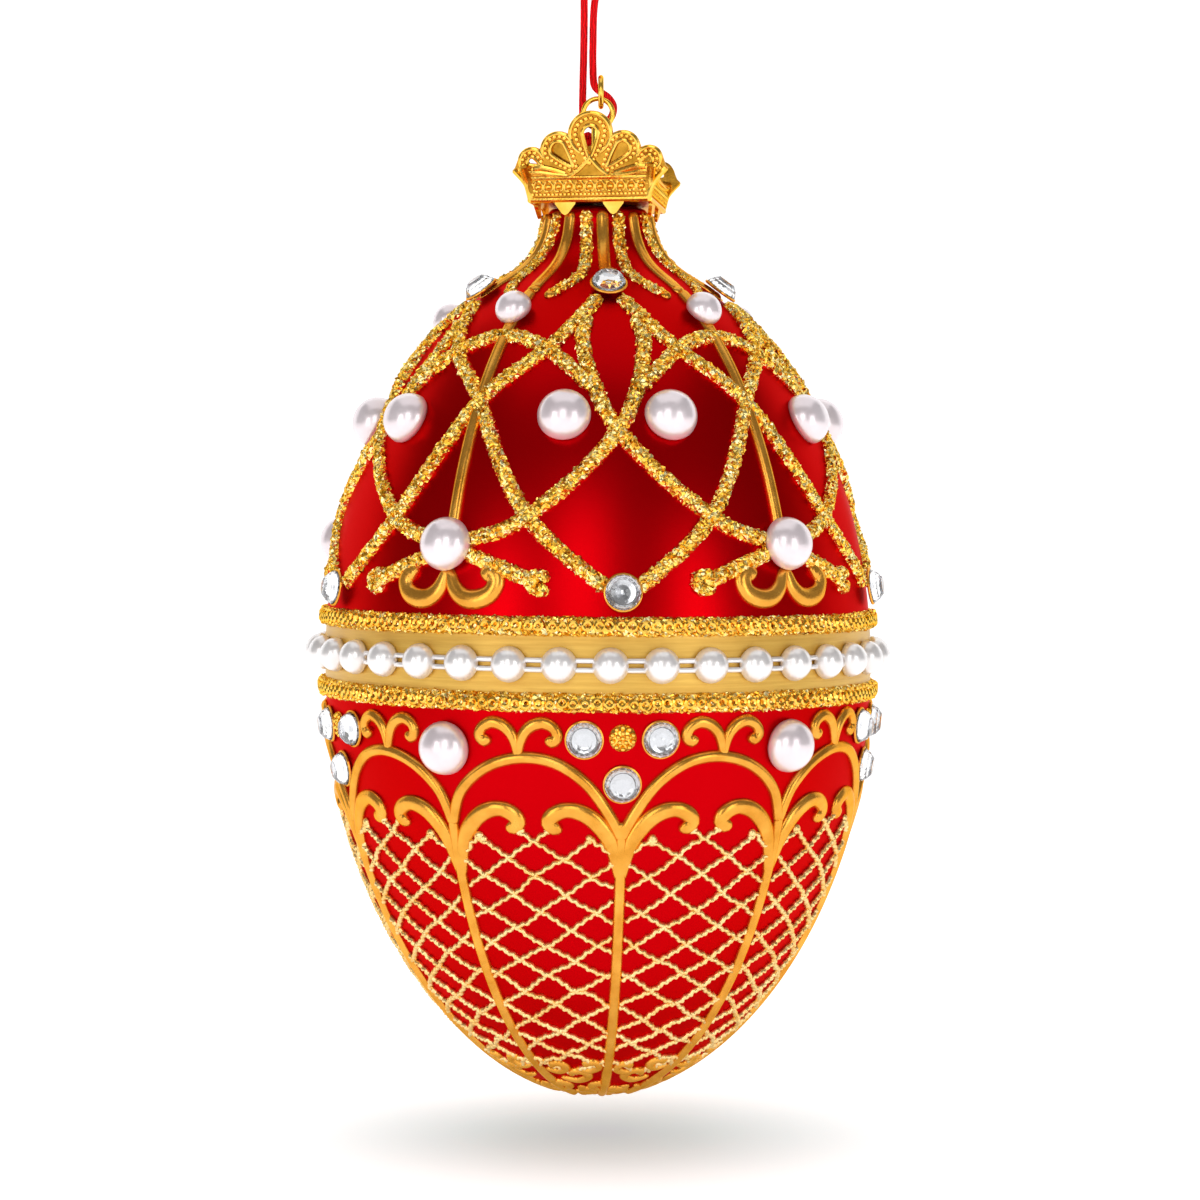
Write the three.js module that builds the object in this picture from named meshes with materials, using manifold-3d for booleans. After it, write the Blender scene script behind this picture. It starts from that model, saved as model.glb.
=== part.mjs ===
// A hanging blown glass egg, lacquered red, with raised gold work, half pearls, crystals and a crown cap.
// Millimetres, +Z up. Heights are measured from the egg's lower tip, and the whole egg is lowered at the end
// so that the origin is at the top of the cord's loop. Angles are in degrees from the front (-Y) towards +X.
import * as THREE from 'three';
import { mergeVertices } from 'three/addons/utils/BufferGeometryUtils.js';
import Module from 'manifold-3d';

const wasm = await Module();
wasm.setup();

// Glass body
const GLASS_RADIUS = 32.6; // at its widest
const WAIST_Z = 52; // height of the widest place
const DOME_HEIGHT = 48.5; // from the waist to where the upper dome would close
const LOWER_FULLNESS = 0.555; // 0.5 is a true ellipse, and more is more pointed
const UPPER_FULLNESS = 0.52;
const GLASS_WALL = 1.1;
const FLARE_PULL = 1.92; // how far the dome's slope runs on into the flare
const NECK_RADIUS = 6.2;
const NECK_SWELL = 0.3; // how much wider than its top the neck is where it leaves the flare
const NECK_HEIGHT = 9.8; // from the flare up
const NECK_PULL = 6.6;
const GLASS_SIDES = 28;

// Heights on the upper dome and on the lower bowl are shares of each one's own height
const domeZ = (share) => WAIST_Z + share * DOME_HEIGHT;
const bowlZ = (share) => share * WAIST_Z;
const FLARE_Z = domeZ(0.903); // where the dome turns out into the neck
const NECK_TOP_Z = FLARE_Z + NECK_HEIGHT;

// Gaps that separate touching pieces
const BED = 0.3; // between the glass and what lies on it
const PIECE_GAP = 0.3;

// Raised gold work on the upper half, in five like units
const UNITS = 5;
const UNIT_ANGLE = 360 / UNITS;
const HALF_UNIT = UNIT_ANGLE / 2;
const PATTERN_TURN = 4.8; // the front unit stands this far round from the front
const GLITTER_WIDTH = 1.6;
const GLITTER_HEIGHT = 0.95;
const LINE_WIDTH = 1.15;
const LINE_HEIGHT = 0.8;
const TOP_STONE_Z = domeZ(0.891);
const TIP_STONE_Z = domeZ(0.1835);
const SMALL_PEARL_Z = domeZ(0.829);
const PAIR_PEARL_Z = domeZ(0.5815);
const PAIR_PEARL_ANGLE = 12.8;
const ANCHOR_PEARL_Z = domeZ(0.2885);
// Each strand's route is angles from the unit's middle and heights, and its twin is its mirror image
const STAR_ROUTE = [[5, domeZ(0.866)], [20, domeZ(0.742)], [HALF_UNIT, domeZ(0.6185)], [53, domeZ(0.3505)],
  [69, domeZ(0.194)]];
const LENS_ROUTE = [[-8.5, domeZ(0.8165)], [-9, domeZ(0.742)], [0, domeZ(0.5505)], [20, domeZ(0.3505)],
  [HALF_UNIT, ANCHOR_PEARL_Z], [55.5, domeZ(0.206)]];
// The swag's route is from the line between two units, half of it
const SWAG_ROUTE = [[30, domeZ(0.6495)], [16, domeZ(0.742)], [0, domeZ(0.7755)]];
const MERIDIAN_ROUTE = [FLARE_Z, SMALL_PEARL_Z, domeZ(0.6185), domeZ(0.33)];
// Half of the double scroll, across and up from the anchor pearl
const SCROLL_ROUTE = [[0.2, -2.6], [0.95, -4.6], [2.2, -5.75], [3.85, -5.95], [5.4, -5.3], [6, -4],
  [5.35, -3], [4.4, -3.4]];
const SCROLL_WIDTH = 1.8;
const NECK_LINES = 20;
const NECK_LINE_TOP_Z = NECK_TOP_Z - 0.6;
const NECK_LINE_HEIGHT = 0.6;
// How far round the neck's glitter lines swing from their tops, and the heights of both kinds of line
const NECK_GLITTER_ROUTE = [[0, NECK_LINE_TOP_Z], [-4, FLARE_Z + 3], [-2, FLARE_Z + 0.9],
  [8, FLARE_Z - 1.2]];
const NECK_PLAIN_ROUTE = [[0, NECK_LINE_TOP_Z], [0, FLARE_Z + 4.2], [0, FLARE_Z - 0.5]];
const COLLAR_DEPTH = 0.8;

// Waist
const WAIST_LINE_Z = [WAIST_Z + 5.3, WAIST_Z - 3];
const WAIST_LINE_WIDTH = 2.2;
const WAIST_LINE_HEIGHT = 1.1;
const WAIST_CREST = 0.45; // its flat crest as a share of its width
const WAIST_SIDES = 28;
const WAIST_TILT = 0.45; // the painter's slight slope, left side up
const CHAIN_Z = WAIST_Z + 1.1;
const CHAIN_PEARLS = 37;
const CHAIN_PEARL_DIAMETER = 4;
const CHAIN_PEARL_HEIGHT = 2.5;
const CHAIN_THREAD_HEIGHT = 1.5;
const CHAIN_THREAD_THICKNESS = 0.7;

// Raised gold work on the lower half, in ten like panels
const PANELS = 10;
const PANEL_ANGLE = 360 / PANELS;
const HALF_PANEL = PANEL_ANGLE / 2;
const RIB_WIDTH = 1.2;
const RIB_ROUTE = [0.69, 0.54, 0.42, 0.27, 0.154, 0.085, 0.042, 0.0175].map(bowlZ);
// Angles from the panel's middle and heights; the top stands away from the stones beside it
const ARCH_ROUTE = [[HALF_PANEL, bowlZ(0.655)], [15.2, bowlZ(0.712)], [10.7, bowlZ(0.775)],
  [4.6, bowlZ(0.817)], [-2.5, bowlZ(0.826)], [-9.7, bowlZ(0.802)], [-15.4, bowlZ(0.749)],
  [-HALF_PANEL, bowlZ(0.68)]];
const ARCH_APEX = ARCH_ROUTE[4];
const ARCH_WIDTH = 1.35;
// Half of the scroll on the arch's top, across and up from the arch
const FLEUR_ROUTE = [[0.1, 0], [0.3, 1.6], [0.8, 2.8], [1.7, 3.6], [2.9, 3.9], [4, 3.4], [4.45, 2.5],
  [3.9, 1.8], [3.3, 2.3]];
const FLEUR_WIDTH = 1.3;
// The scroll that leaves a rib on each side, across from the rib and up from this height
const VOLUTE_Z = bowlZ(0.66);
const VOLUTE_ROUTE = [[0.1, -5.2], [0.45, -3], [1, -1], [2, 0.75], [3.4, 2.15], [4.95, 2.9], [6.4, 2.95],
  [7.6, 2.3], [7.9, 1.5], [7.3, 1], [6.7, 1.3]];
const VOLUTE_WIDTH = 1.8;
// One flat scroll of the rosette round the tip, across and up from its foot
const ROSETTE_ROUTE = [[0, -1.6], [2.4, -1.2], [3.2, 0.2], [2.4, 1.6], [0.8, 1.3]];
const ROSETTE_Z = bowlZ(0.065);
const LOWER_PEARL_Z = bowlZ(0.8425);
const TRIO_Z = [bowlZ(0.8655), bowlZ(0.774)]; // the upper two stones and the lower one
const TRIO_ANGLE = 7.4;

// Half pearls and crystals
const PEARL_DIAMETER = 6;
const SMALL_PEARL_DIAMETER = 4.3;
const PEARL_FULLNESS = 0.5; // its height as a share of its diameter
const PEARL_SIDES = 8;
const STONE_DIAMETER = 4;
const STONE_HEIGHT = 1.7;
const STONE_TABLE = 0.55; // its flat top as a share of its diameter
const STONE_SIDES = 8;
const PAD_OVERHANG = 0.35; // how far the gold bed of a stone shows round it
const PAD_SIDES = 6;

// Crown cap
const CROWN_TURN = -8.3;
const CROWN_BASE_Z = NECK_TOP_Z + 0.4;
const CROWN_HALF_SIDE = 7;
const CROWN_FLARE = 12; // how far each side leans out
const CROWN_WALL = 0.95;
const CORNER_RISE = 4.7; // height of a corner's tip above the base
const CORNER_REACH = 1.35; // how far a corner's tip passes the side at the base
const LOW_SIDE_RISE = 3; // height of the crown's two low sides at their middle
const CENTRE_LOBE = { across: 0, up: 7.9, radius: 2.55, hole: 1.15, point: 2.6, lean: 0 };
const MIDDLE_LOBE = { across: 4.3, up: 6, radius: 2.15, hole: 1, point: 2.6, lean: 38 };
const OUTER_LOBE = { across: 6.9, up: 4.8, radius: 1.45, hole: 0.5, point: 1.6, lean: 62 };
const PLATE_THICKNESS = 1;
const TABS = 8;
const TAB_TURN = -27;
const TAB_WIDTH = 2.8;
const TAB_DROP = 2;
const TAB_THICKNESS = 0.6;
const SHANK_RADIUS = 0.8;
const EYE_RADIUS = 1.75; // to the middle of its wire
const EYE_WIRE = 0.6;
const EYE_RISE = 11.3; // of its middle above the crown's base
const EYE_Z = CROWN_BASE_Z + EYE_RISE;

// Jump ring and cord
const RING_RADIUS = 1.7; // to the middle of its wire
const RING_WIRE = 0.66;
const RING_X = 0.35;
const CORD_DIAMETER = 0.9;
const CORD_SIDES = 6;
const CORD_STEPS = 40;
const LOOP_RISE = 28.7; // of the loop's top above the eye
const KNOT_RADIUS = 1.05;
const KNOT_PLACE = [-1.45, 1.9, -2.8]; // from the eye, as in the route
// The cord's middle line: from the knot to the loop's top, down again, through the ring and to the knot
const CORD_ROUTE = [
  [-1.8, 1.8, -1.35], [-1.85, 1.6, 0.7], [-1.8, 1.2, 3.7], [-1.7, 0.9, 7.7], [-1.65, 0.5, 12.7],
  [-1.75, 0.2, 17.2], [-2.1, 0.05, 21.7], [-2.0, 0, 25.7], [-1.1, 0, 28.2], [0, 0, LOOP_RISE], [1.1, 0, 28.2],
  [1.85, 0, 25.7], [1.5, 0.05, 21.7], [0.3, 0.2, 17.2], [-0.45, 0.5, 12.7], [-0.6, 0.9, 8.2],
  [-0.6, 0.95, 5.6], [-0.45, 0.6, 3.5], [0.35, 0.3, 2.55], [1.25, 0.7, 1.95], [1.85, 1.15, 1],
  [1.6, 1.5, -0.2], [0.6, 1.7, -1], [-0.35, 1.8, -1.7],
];

const COLOURS = {
  lacquer: 0xb40008, gilding: 0xd9a441, glitter: 0xcfa53a, pearl: 0xeadfe4, crystal: 0xe6ebef,
  crown: 0xe0a01e, cord: 0xd00010,
};

function finish(colour, roughness, metalness) {
  return new THREE.MeshStandardMaterial({ color: colour, roughness, metalness });
}

// Solids that can be joined and cut
function toSolid(geometry) {
  const bare = geometry.clone();
  bare.deleteAttribute('normal');
  bare.deleteAttribute('uv');
  const merged = mergeVertices(bare, 1e-4);
  return new wasm.Manifold(new wasm.Mesh({
    numProp: 3,
    vertProperties: new Float32Array(merged.attributes.position.array),
    triVerts: new Uint32Array(merged.index.array),
  }));
}

function toGeometry(solid) {
  const mesh = solid.getMesh();
  const geometry = new THREE.BufferGeometry();
  geometry.setAttribute('position', new THREE.BufferAttribute(mesh.vertProperties, 3));
  geometry.setIndex(new THREE.BufferAttribute(mesh.triVerts, 1));
  geometry.computeVertexNormals();
  return geometry;
}

function joined(geometries) {
  return toGeometry(geometries.map(toSolid).reduce((all, one) => all.add(one)));
}

// The glass's outer radius at a height
const flare = new THREE.CubicBezierCurve(
  new THREE.Vector2(domeRadius(FLARE_Z), FLARE_Z),
  new THREE.Vector2(domeRadius(FLARE_Z) + domeSlope(FLARE_Z) * FLARE_PULL, FLARE_Z + FLARE_PULL),
  new THREE.Vector2(NECK_RADIUS + NECK_SWELL, NECK_TOP_Z - NECK_PULL),
  new THREE.Vector2(NECK_RADIUS, NECK_TOP_Z),
);
const flareTable = flare.getPoints(60);

function domeRadius(z) {
  const rise = Math.abs(z - WAIST_Z) / (z < WAIST_Z ? WAIST_Z : DOME_HEIGHT);
  const fullness = z < WAIST_Z ? LOWER_FULLNESS : UPPER_FULLNESS;
  return GLASS_RADIUS * Math.pow(Math.max(0, 1 - rise * rise), fullness);
}

function domeSlope(z) {
  const step = 0.01;
  return (domeRadius(z + step) - domeRadius(z - step)) / (2 * step);
}

function glassRadius(z) {
  if (z <= FLARE_Z) return domeRadius(z);
  const next = flareTable.findIndex((point) => point.y >= z);
  if (next < 1) return NECK_RADIUS;
  const [low, high] = [flareTable[next - 1], flareTable[next]];
  return THREE.MathUtils.lerp(low.x, high.x, (z - low.y) / (high.y - low.y));
}

// A place on the glass: its point, the way out of the surface, and the ways round and up along it
function placeOnGlass(angle, z, offset = 0) {
  const step = 0.02;
  const low = Math.max(z - step, 0);
  const slope = (glassRadius(z + step) - glassRadius(low)) / (z + step - low);
  const turn = THREE.MathUtils.degToRad(angle);
  const out = new THREE.Vector3(Math.sin(turn), -Math.cos(turn), 0);
  const normal = out.clone().setZ(-slope).normalize();
  const point = out.clone().multiplyScalar(glassRadius(z)).setZ(z).addScaledVector(normal, offset);
  return { point, normal };
}

// A point that lies across and up from a place on the glass, both in millimetres along the surface
function nearby(angle, z, across, up) {
  const { normal } = placeOnGlass(angle, z);
  const rise = Math.hypot(normal.x, normal.y);
  const height = z + up * rise;
  return [angle + THREE.MathUtils.radToDeg(across / glassRadius(height)), height];
}

// A strip of raised gold that follows a route of angles and heights over the glass
function strip(route, width, height, steps) {
  const path = new THREE.SplineCurve(route.map(([angle, z]) => new THREE.Vector2(angle, z)));
  const section = new THREE.Shape([
    new THREE.Vector2(-width / 2, BED), new THREE.Vector2(width / 2, BED), new THREE.Vector2(0, height),
  ]);
  const geometry = new THREE.ExtrudeGeometry(section, { depth: 1, steps, bevelEnabled: false });
  const spot = geometry.attributes.position;
  const at = (t) => {
    const { x, y } = path.getPoint(THREE.MathUtils.clamp(t, 0, 1));
    return placeOnGlass(x, y);
  };
  for (let i = 0; i < spot.count; i += 1) {
    const t = spot.getZ(i);
    const { point, normal } = at(t);
    const along = at(t + 0.01).point.sub(at(t - 0.01).point).normalize();
    const side = along.cross(normal).normalize();
    point.addScaledVector(side, -spot.getX(i)).addScaledVector(normal, spot.getY(i));
    spot.setXYZ(i, point.x, point.y, point.z);
  }
  return outward(geometry);
}

// Turns a closed mesh the right way out
function outward(geometry) {
  const spot = geometry.attributes.position;
  const corners = geometry.index ? geometry.index.array : [...Array(spot.count).keys()];
  const [a, b, c] = [new THREE.Vector3(), new THREE.Vector3(), new THREE.Vector3()];
  let volume = 0;
  for (let i = 0; i < corners.length; i += 3) {
    a.fromBufferAttribute(spot, corners[i]);
    b.fromBufferAttribute(spot, corners[i + 1]);
    c.fromBufferAttribute(spot, corners[i + 2]);
    volume += a.dot(b.cross(c));
  }
  if (volume > 0) return geometry;
  const turned = [...corners];
  for (let i = 0; i < turned.length; i += 3) [turned[i], turned[i + 1]] = [turned[i + 1], turned[i]];
  geometry.setIndex(turned);
  return geometry;
}

// Moves a geometry that stands on the XY plane onto the glass, its +Z out of the surface
function seatOnGlass(geometry, angle, z, offset) {
  const { point, normal } = placeOnGlass(angle, z, offset);
  const turn = new THREE.Quaternion().setFromUnitVectors(new THREE.Vector3(0, 0, 1), normal);
  return geometry.applyQuaternion(turn).translate(point.x, point.y, point.z);
}

function lathe(profile, sides) {
  const points = profile.map(([radius, z]) => new THREE.Vector2(radius, z));
  return outward(new THREE.LatheGeometry(points, sides).rotateX(Math.PI / 2));
}

// Glass
function glassEgg() {
  const outerSteps = 12;
  const innerSteps = 6;
  const profile = [[0, 0]];
  for (let i = 1; i <= outerSteps; i += 1) {
    const share = i / outerSteps;
    const rise = share * Math.PI * 0.86;
    const z = rise < Math.PI / 2
      ? WAIST_Z * (1 - Math.cos(rise))
      : WAIST_Z + (FLARE_Z - WAIST_Z) * Math.sin((rise - Math.PI / 2) / (0.72 * Math.PI) * Math.PI);
    profile.push([glassRadius(Math.min(z, FLARE_Z)), Math.min(z, FLARE_Z)]);
  }
  for (const share of [0.2, 0.42, 0.66, 1]) {
    const point = flare.getPoint(share);
    profile.push([point.x, point.y]);
  }
  const boreRadius = NECK_RADIUS - GLASS_WALL;
  profile.push([boreRadius, NECK_TOP_Z]);
  const shoulder = FLARE_Z - GLASS_WALL;
  for (let i = 0; i <= innerSteps; i += 1) {
    const rise = Math.PI * (1 - i / innerSteps);
    const middle = (shoulder + GLASS_WALL) / 2;
    const z = middle - (middle - GLASS_WALL) * Math.cos(rise);
    const { point, normal } = placeOnGlass(0, z);
    profile.push([Math.max(0, -point.y + normal.y * GLASS_WALL), z - normal.z * GLASS_WALL]);
  }
  profile[profile.length - 1] = [0, GLASS_WALL * 1.4];
  return lathe(profile, GLASS_SIDES);
}

// Upper gold work
function unitStrands(centre) {
  const strands = [];
  for (const side of [-1, 1]) {
    for (const route of [STAR_ROUTE, LENS_ROUTE]) {
      const spots = route.map(([angle, z]) => [centre + side * angle, z]);
      strands.push(strip(spots, GLITTER_WIDTH, GLITTER_HEIGHT, 7));
    }
  }
  return strands;
}

// The strand that hangs between two units, over the line that parts them
function swag(between) {
  const half = SWAG_ROUTE.map(([angle, z]) => [between - angle, z]);
  const other = SWAG_ROUTE.slice(0, -1).reverse().map(([angle, z]) => [between + angle, z]);
  return strip([...half, ...other], GLITTER_WIDTH, GLITTER_HEIGHT, 4);
}

// Both halves of a scroll whose route is across and up from a place on the glass
function twinScroll(route, angle, z, width, steps) {
  return [-1, 1].map((side) => {
    const spots = route.map(([across, up]) => nearby(angle, z, side * across, up));
    return strip(spots, width, LINE_HEIGHT, steps);
  });
}

function rad(degrees) {
  return THREE.MathUtils.degToRad(degrees);
}

function neckLine(index) {
  const angle = PATTERN_TURN + index * 360 / NECK_LINES;
  const isGlitter = index % 2 === 1;
  const way = (index * 360 / NECK_LINES) % UNIT_ANGLE < HALF_UNIT ? 1 : -1;
  const route = isGlitter ? NECK_GLITTER_ROUTE : NECK_PLAIN_ROUTE;
  const spots = route.map(([swing, z]) => [angle + way * swing, z]);
  return strip(spots, isGlitter ? GLITTER_WIDTH : LINE_WIDTH, NECK_LINE_HEIGHT, isGlitter ? 3 : 2);
}

function neckCollar() {
  const bottom = NECK_LINE_TOP_Z - COLLAR_DEPTH;
  const inner = glassRadius(bottom) + BED;
  const outer = NECK_RADIUS + NECK_LINE_HEIGHT;
  return lathe([[inner, bottom], [outer, bottom], [outer, NECK_LINE_TOP_Z], [inner, NECK_LINE_TOP_Z],
    [inner, bottom]], NECK_LINES);
}

// The round bed of gold that a stone or pearl is set in where it covers the strands
function pad(angle, z, diameter) {
  const radius = diameter / 2 + PAD_OVERHANG;
  const top = GLITTER_HEIGHT - BED;
  const disc = lathe([[0, 0], [radius, 0], [radius - top / 4, top], [0, top]], PAD_SIDES);
  return seatOnGlass(disc, angle, z, BED);
}

function upperGilding() {
  const parts = [neckCollar()];
  for (let i = 0; i < NECK_LINES; i += 1) parts.push(neckLine(i));
  for (let unit = 0; unit < UNITS; unit += 1) {
    const centre = PATTERN_TURN + unit * UNIT_ANGLE;
    const between = centre + HALF_UNIT;
    parts.push(...unitStrands(centre), swag(between));
    parts.push(strip(MERIDIAN_ROUTE.map((z) => [between, z]), LINE_WIDTH, LINE_HEIGHT, 4));
    parts.push(...twinScroll(SCROLL_ROUTE, between, ANCHOR_PEARL_Z, SCROLL_WIDTH, 7));
    parts.push(pad(centre, TOP_STONE_Z, STONE_DIAMETER));
    parts.push(pad(centre, TIP_STONE_Z, STONE_DIAMETER));
  }
  return joined(parts);
}

// Waist
function waistLine(z) {
  const half = WAIST_LINE_WIDTH / 2;
  const base = (height) => glassRadius(height) + BED;
  const crest = glassRadius(z) + WAIST_LINE_HEIGHT;
  const flat = half * WAIST_CREST;
  return lathe([[base(z - half), z - half], [crest, z - flat], [crest, z + flat],
    [base(z + half), z + half], [base(z - half), z - half]], WAIST_SIDES);
}

function pearlChain() {
  const base = glassRadius(CHAIN_Z) + BED;
  const beadHalf = THREE.MathUtils.radToDeg(CHAIN_PEARL_DIAMETER / 2 / (base + CHAIN_PEARL_HEIGHT / 2));
  const pitch = 360 / CHAIN_PEARLS;
  // Each stretch is a bead and the thread that leads to the next one
  const stations = [[-beadHalf, 0], [-beadHalf * 0.55, 1], [beadHalf * 0.55, 1], [beadHalf, 0]];
  const ring = new THREE.TorusGeometry(1, 0.1, 4, CHAIN_PEARLS * stations.length);
  const spot = ring.attributes.position;
  for (let i = 0; i < spot.count; i += 1) {
    const [x, y, z] = [spot.getX(i), spot.getY(i), spot.getZ(i)];
    const count = CHAIN_PEARLS * stations.length;
    const step = Math.round(((Math.atan2(y, x) / (2 * Math.PI)) * count + count) % count) % count;
    const [offset, swell] = stations[step % stations.length];
    const angle = Math.floor(step / stations.length) * pitch + offset + PATTERN_TURN / 2;
    const outShare = THREE.MathUtils.clamp((Math.hypot(x, y) - 1) / 0.1, -1, 1);
    const upShare = z / 0.1;
    const tall = THREE.MathUtils.lerp(CHAIN_THREAD_HEIGHT, CHAIN_PEARL_DIAMETER * 1.05, swell) / 2;
    const thick = THREE.MathUtils.lerp(CHAIN_THREAD_THICKNESS, CHAIN_PEARL_HEIGHT - BED, swell);
    const radius = base + thick * Math.max(0, (outShare + 0.81) / 1.81);
    const turn = rad(angle);
    spot.setXYZ(i, radius * Math.sin(turn), -radius * Math.cos(turn), CHAIN_Z + tall * upShare);
  }
  return outward(ring);
}

// Lower gold work
function panelLines(index) {
  const ribAngle = PATTERN_TURN + index * PANEL_ANGLE;
  const middle = ribAngle + HALF_PANEL;
  const way = index % 2 === 0 ? -1 : 1; // every second panel is the mirror image of the one before it
  const [apexAngle, apexZ] = ARCH_APEX;
  const rosette = ROSETTE_ROUTE.map(([across, up]) => nearby(ribAngle, ROSETTE_Z, across, up));
  return [
    strip(RIB_ROUTE.map((z) => [ribAngle, z]), RIB_WIDTH, LINE_HEIGHT, 7),
    strip(ARCH_ROUTE.map(([angle, z]) => [middle + way * angle, z]), ARCH_WIDTH, LINE_HEIGHT, 7),
    ...twinScroll(FLEUR_ROUTE, middle + way * apexAngle, apexZ, FLEUR_WIDTH, 6),
    ...twinScroll(VOLUTE_ROUTE, ribAngle, VOLUTE_Z, VOLUTE_WIDTH, 7),
    strip(rosette, RIB_WIDTH, LINE_HEIGHT, 3),
  ];
}

function lowerGilding() {
  const parts = [];
  for (let panel = 0; panel < PANELS; panel += 1) {
    parts.push(...panelLines(panel));
  }
  return joined(parts);
}

// Half pearls and crystals, each standing on its flat back
function halfPearl(diameter) {
  const radius = diameter / 2;
  const height = diameter * PEARL_FULLNESS;
  return lathe([[0, 0], [radius, 0], [radius * 0.8, height * 0.62], [0, height]], PEARL_SIDES);
}

function crystal() {
  const radius = STONE_DIAMETER / 2;
  return lathe([[0, 0], [radius, 0], [radius * STONE_TABLE, STONE_HEIGHT], [0, STONE_HEIGHT]], STONE_SIDES);
}

// Crown cap: tall at its front and back, each a fan of five loops, and low at its sides
function crownOutline(tall) {
  const right = [[CROWN_HALF_SIDE, 0], [CROWN_HALF_SIDE + CORNER_REACH, CORNER_RISE]];
  if (!tall) return [...right, [0, LOW_SIDE_RISE], ...right.map(([x, y]) => [-x, y]).reverse()];
  const turns = [[OUTER_LOBE, [30, 105]], [MIDDLE_LOBE, [20, 75, 130]], [CENTRE_LOBE, [5, 45]]];
  for (const [{ across, up, radius }, places] of turns) {
    for (const turn of places) {
      right.push([across + radius * Math.cos(rad(turn)), up + radius * Math.sin(rad(turn))]);
    }
  }
  const top = [0, CENTRE_LOBE.up + CENTRE_LOBE.radius];
  return [...right, top, ...right.map(([x, y]) => [-x, y]).reverse()];
}

// A loop's opening: round above and drawn to a point below
function loopHole({ across, up, hole, point, lean }, way) {
  const corners = [[0, -point], [hole, 0], [hole * 0.7, hole * 0.9], [-hole * 0.7, hole * 0.9], [-hole, 0]];
  const middle = new THREE.Vector2();
  const turned = corners.map(([x, y]) => new THREE.Vector2(x, y).rotateAround(middle, rad(-way * lean)));
  return new THREE.Path(turned.map((corner) => corner.add(new THREE.Vector2(way * across, up))));
}

function crownSide(tall) {
  const side = new THREE.Shape(crownOutline(tall).map(([x, y]) => new THREE.Vector2(x, y)));
  if (tall) {
    side.holes.push(loopHole(CENTRE_LOBE, 1));
    for (const way of [-1, 1]) side.holes.push(loopHole(MIDDLE_LOBE, way), loopHole(OUTER_LOBE, way));
  }
  const plate = new THREE.ExtrudeGeometry(side, { depth: CROWN_WALL, bevelEnabled: false });
  // Stand it up, lean it out about its lower edge, and move it out to the crown's side
  return plate.translate(0, 0, -CROWN_WALL).rotateX(Math.PI / 2 + rad(CROWN_FLARE))
    .translate(0, -CROWN_HALF_SIDE, CROWN_BASE_Z + 0.1);
}

function crownTab(index) {
  const shape = new THREE.Shape([
    new THREE.Vector2(-TAB_WIDTH / 2, PLATE_THICKNESS / 2), new THREE.Vector2(0, -TAB_DROP),
    new THREE.Vector2(TAB_WIDTH / 2, PLATE_THICKNESS / 2),
  ]);
  const radius = NECK_RADIUS + NECK_LINE_HEIGHT + PIECE_GAP;
  return new THREE.ExtrudeGeometry(shape, { depth: TAB_THICKNESS, bevelEnabled: false })
    .rotateX(Math.PI / 2).translate(0, -radius, CROWN_BASE_Z).rotateZ(rad(TAB_TURN + index * 360 / TABS));
}

function crownCap() {
  const plateRadius = NECK_RADIUS + NECK_LINE_HEIGHT + PIECE_GAP + TAB_THICKNESS;
  const parts = [lathe([[0, CROWN_BASE_Z], [plateRadius, CROWN_BASE_Z],
    [plateRadius, CROWN_BASE_Z + PLATE_THICKNESS], [0, CROWN_BASE_Z + PLATE_THICKNESS]], 16)];
  for (let side = 0; side < 4; side += 1) {
    parts.push(crownSide(side % 2 === 0).rotateZ(rad(CROWN_TURN + side * 90)));
  }
  for (let tab = 0; tab < TABS; tab += 1) parts.push(crownTab(tab));
  const shankTop = EYE_Z - EYE_RADIUS;
  const shank = [[0, CROWN_BASE_Z], [SHANK_RADIUS, CROWN_BASE_Z], [SHANK_RADIUS, shankTop], [0, shankTop]];
  const eye = new THREE.TorusGeometry(EYE_RADIUS, EYE_WIRE / 2, 5, 12).rotateX(Math.PI / 2);
  parts.push(lathe(shank, 6), eye.translate(0, 0, EYE_Z));
  return joined(parts);
}

// The ring hangs in the eye, its lowest wire just under the top of the eye
function jumpRing() {
  const wireTop = EYE_Z + EYE_RADIUS - EYE_WIRE / 2 - PIECE_GAP;
  const ringZ = wireTop - RING_WIRE / 2 + RING_RADIUS;
  return outward(new THREE.TorusGeometry(RING_RADIUS, RING_WIRE / 2, 5, 12).rotateY(Math.PI / 2)
    .translate(RING_X, 0, ringZ));
}

function hangCord() {
  const spots = CORD_ROUTE.map(([x, y, z]) => new THREE.Vector3(x, y, EYE_Z + z));
  const route = new THREE.CatmullRomCurve3(spots);
  const section = new THREE.Shape();
  for (let i = 0; i < CORD_SIDES; i += 1) {
    const turn = (i / CORD_SIDES) * 2 * Math.PI;
    const [x, y] = [Math.cos(turn) * CORD_DIAMETER / 2, Math.sin(turn) * CORD_DIAMETER / 2];
    if (i === 0) section.moveTo(x, y);
    else section.lineTo(x, y);
  }
  return outward(new THREE.ExtrudeGeometry(section, { extrudePath: route, steps: CORD_STEPS }));
}

function cordKnot() {
  const [x, y, z] = KNOT_PLACE;
  return new THREE.IcosahedronGeometry(KNOT_RADIUS, 1).translate(x, y, EYE_Z + z);
}

// The whole ornament
const ornament = new THREE.Group();
const egg = new THREE.Group();
egg.position.z = -(EYE_Z + LOOP_RISE);
ornament.add(egg);
const waist = new THREE.Group();
waist.position.z = CHAIN_Z;
waist.rotation.y = rad(WAIST_TILT);
egg.add(waist);

function addPiece(group, name, geometry, material) {
  const mesh = new THREE.Mesh(geometry, material);
  mesh.name = name;
  group.add(mesh);
}

const pearlFinish = () => finish(COLOURS.pearl, 0.25, 0);
const crystalFinish = () => finish(COLOURS.crystal, 0.05, 0);

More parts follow.
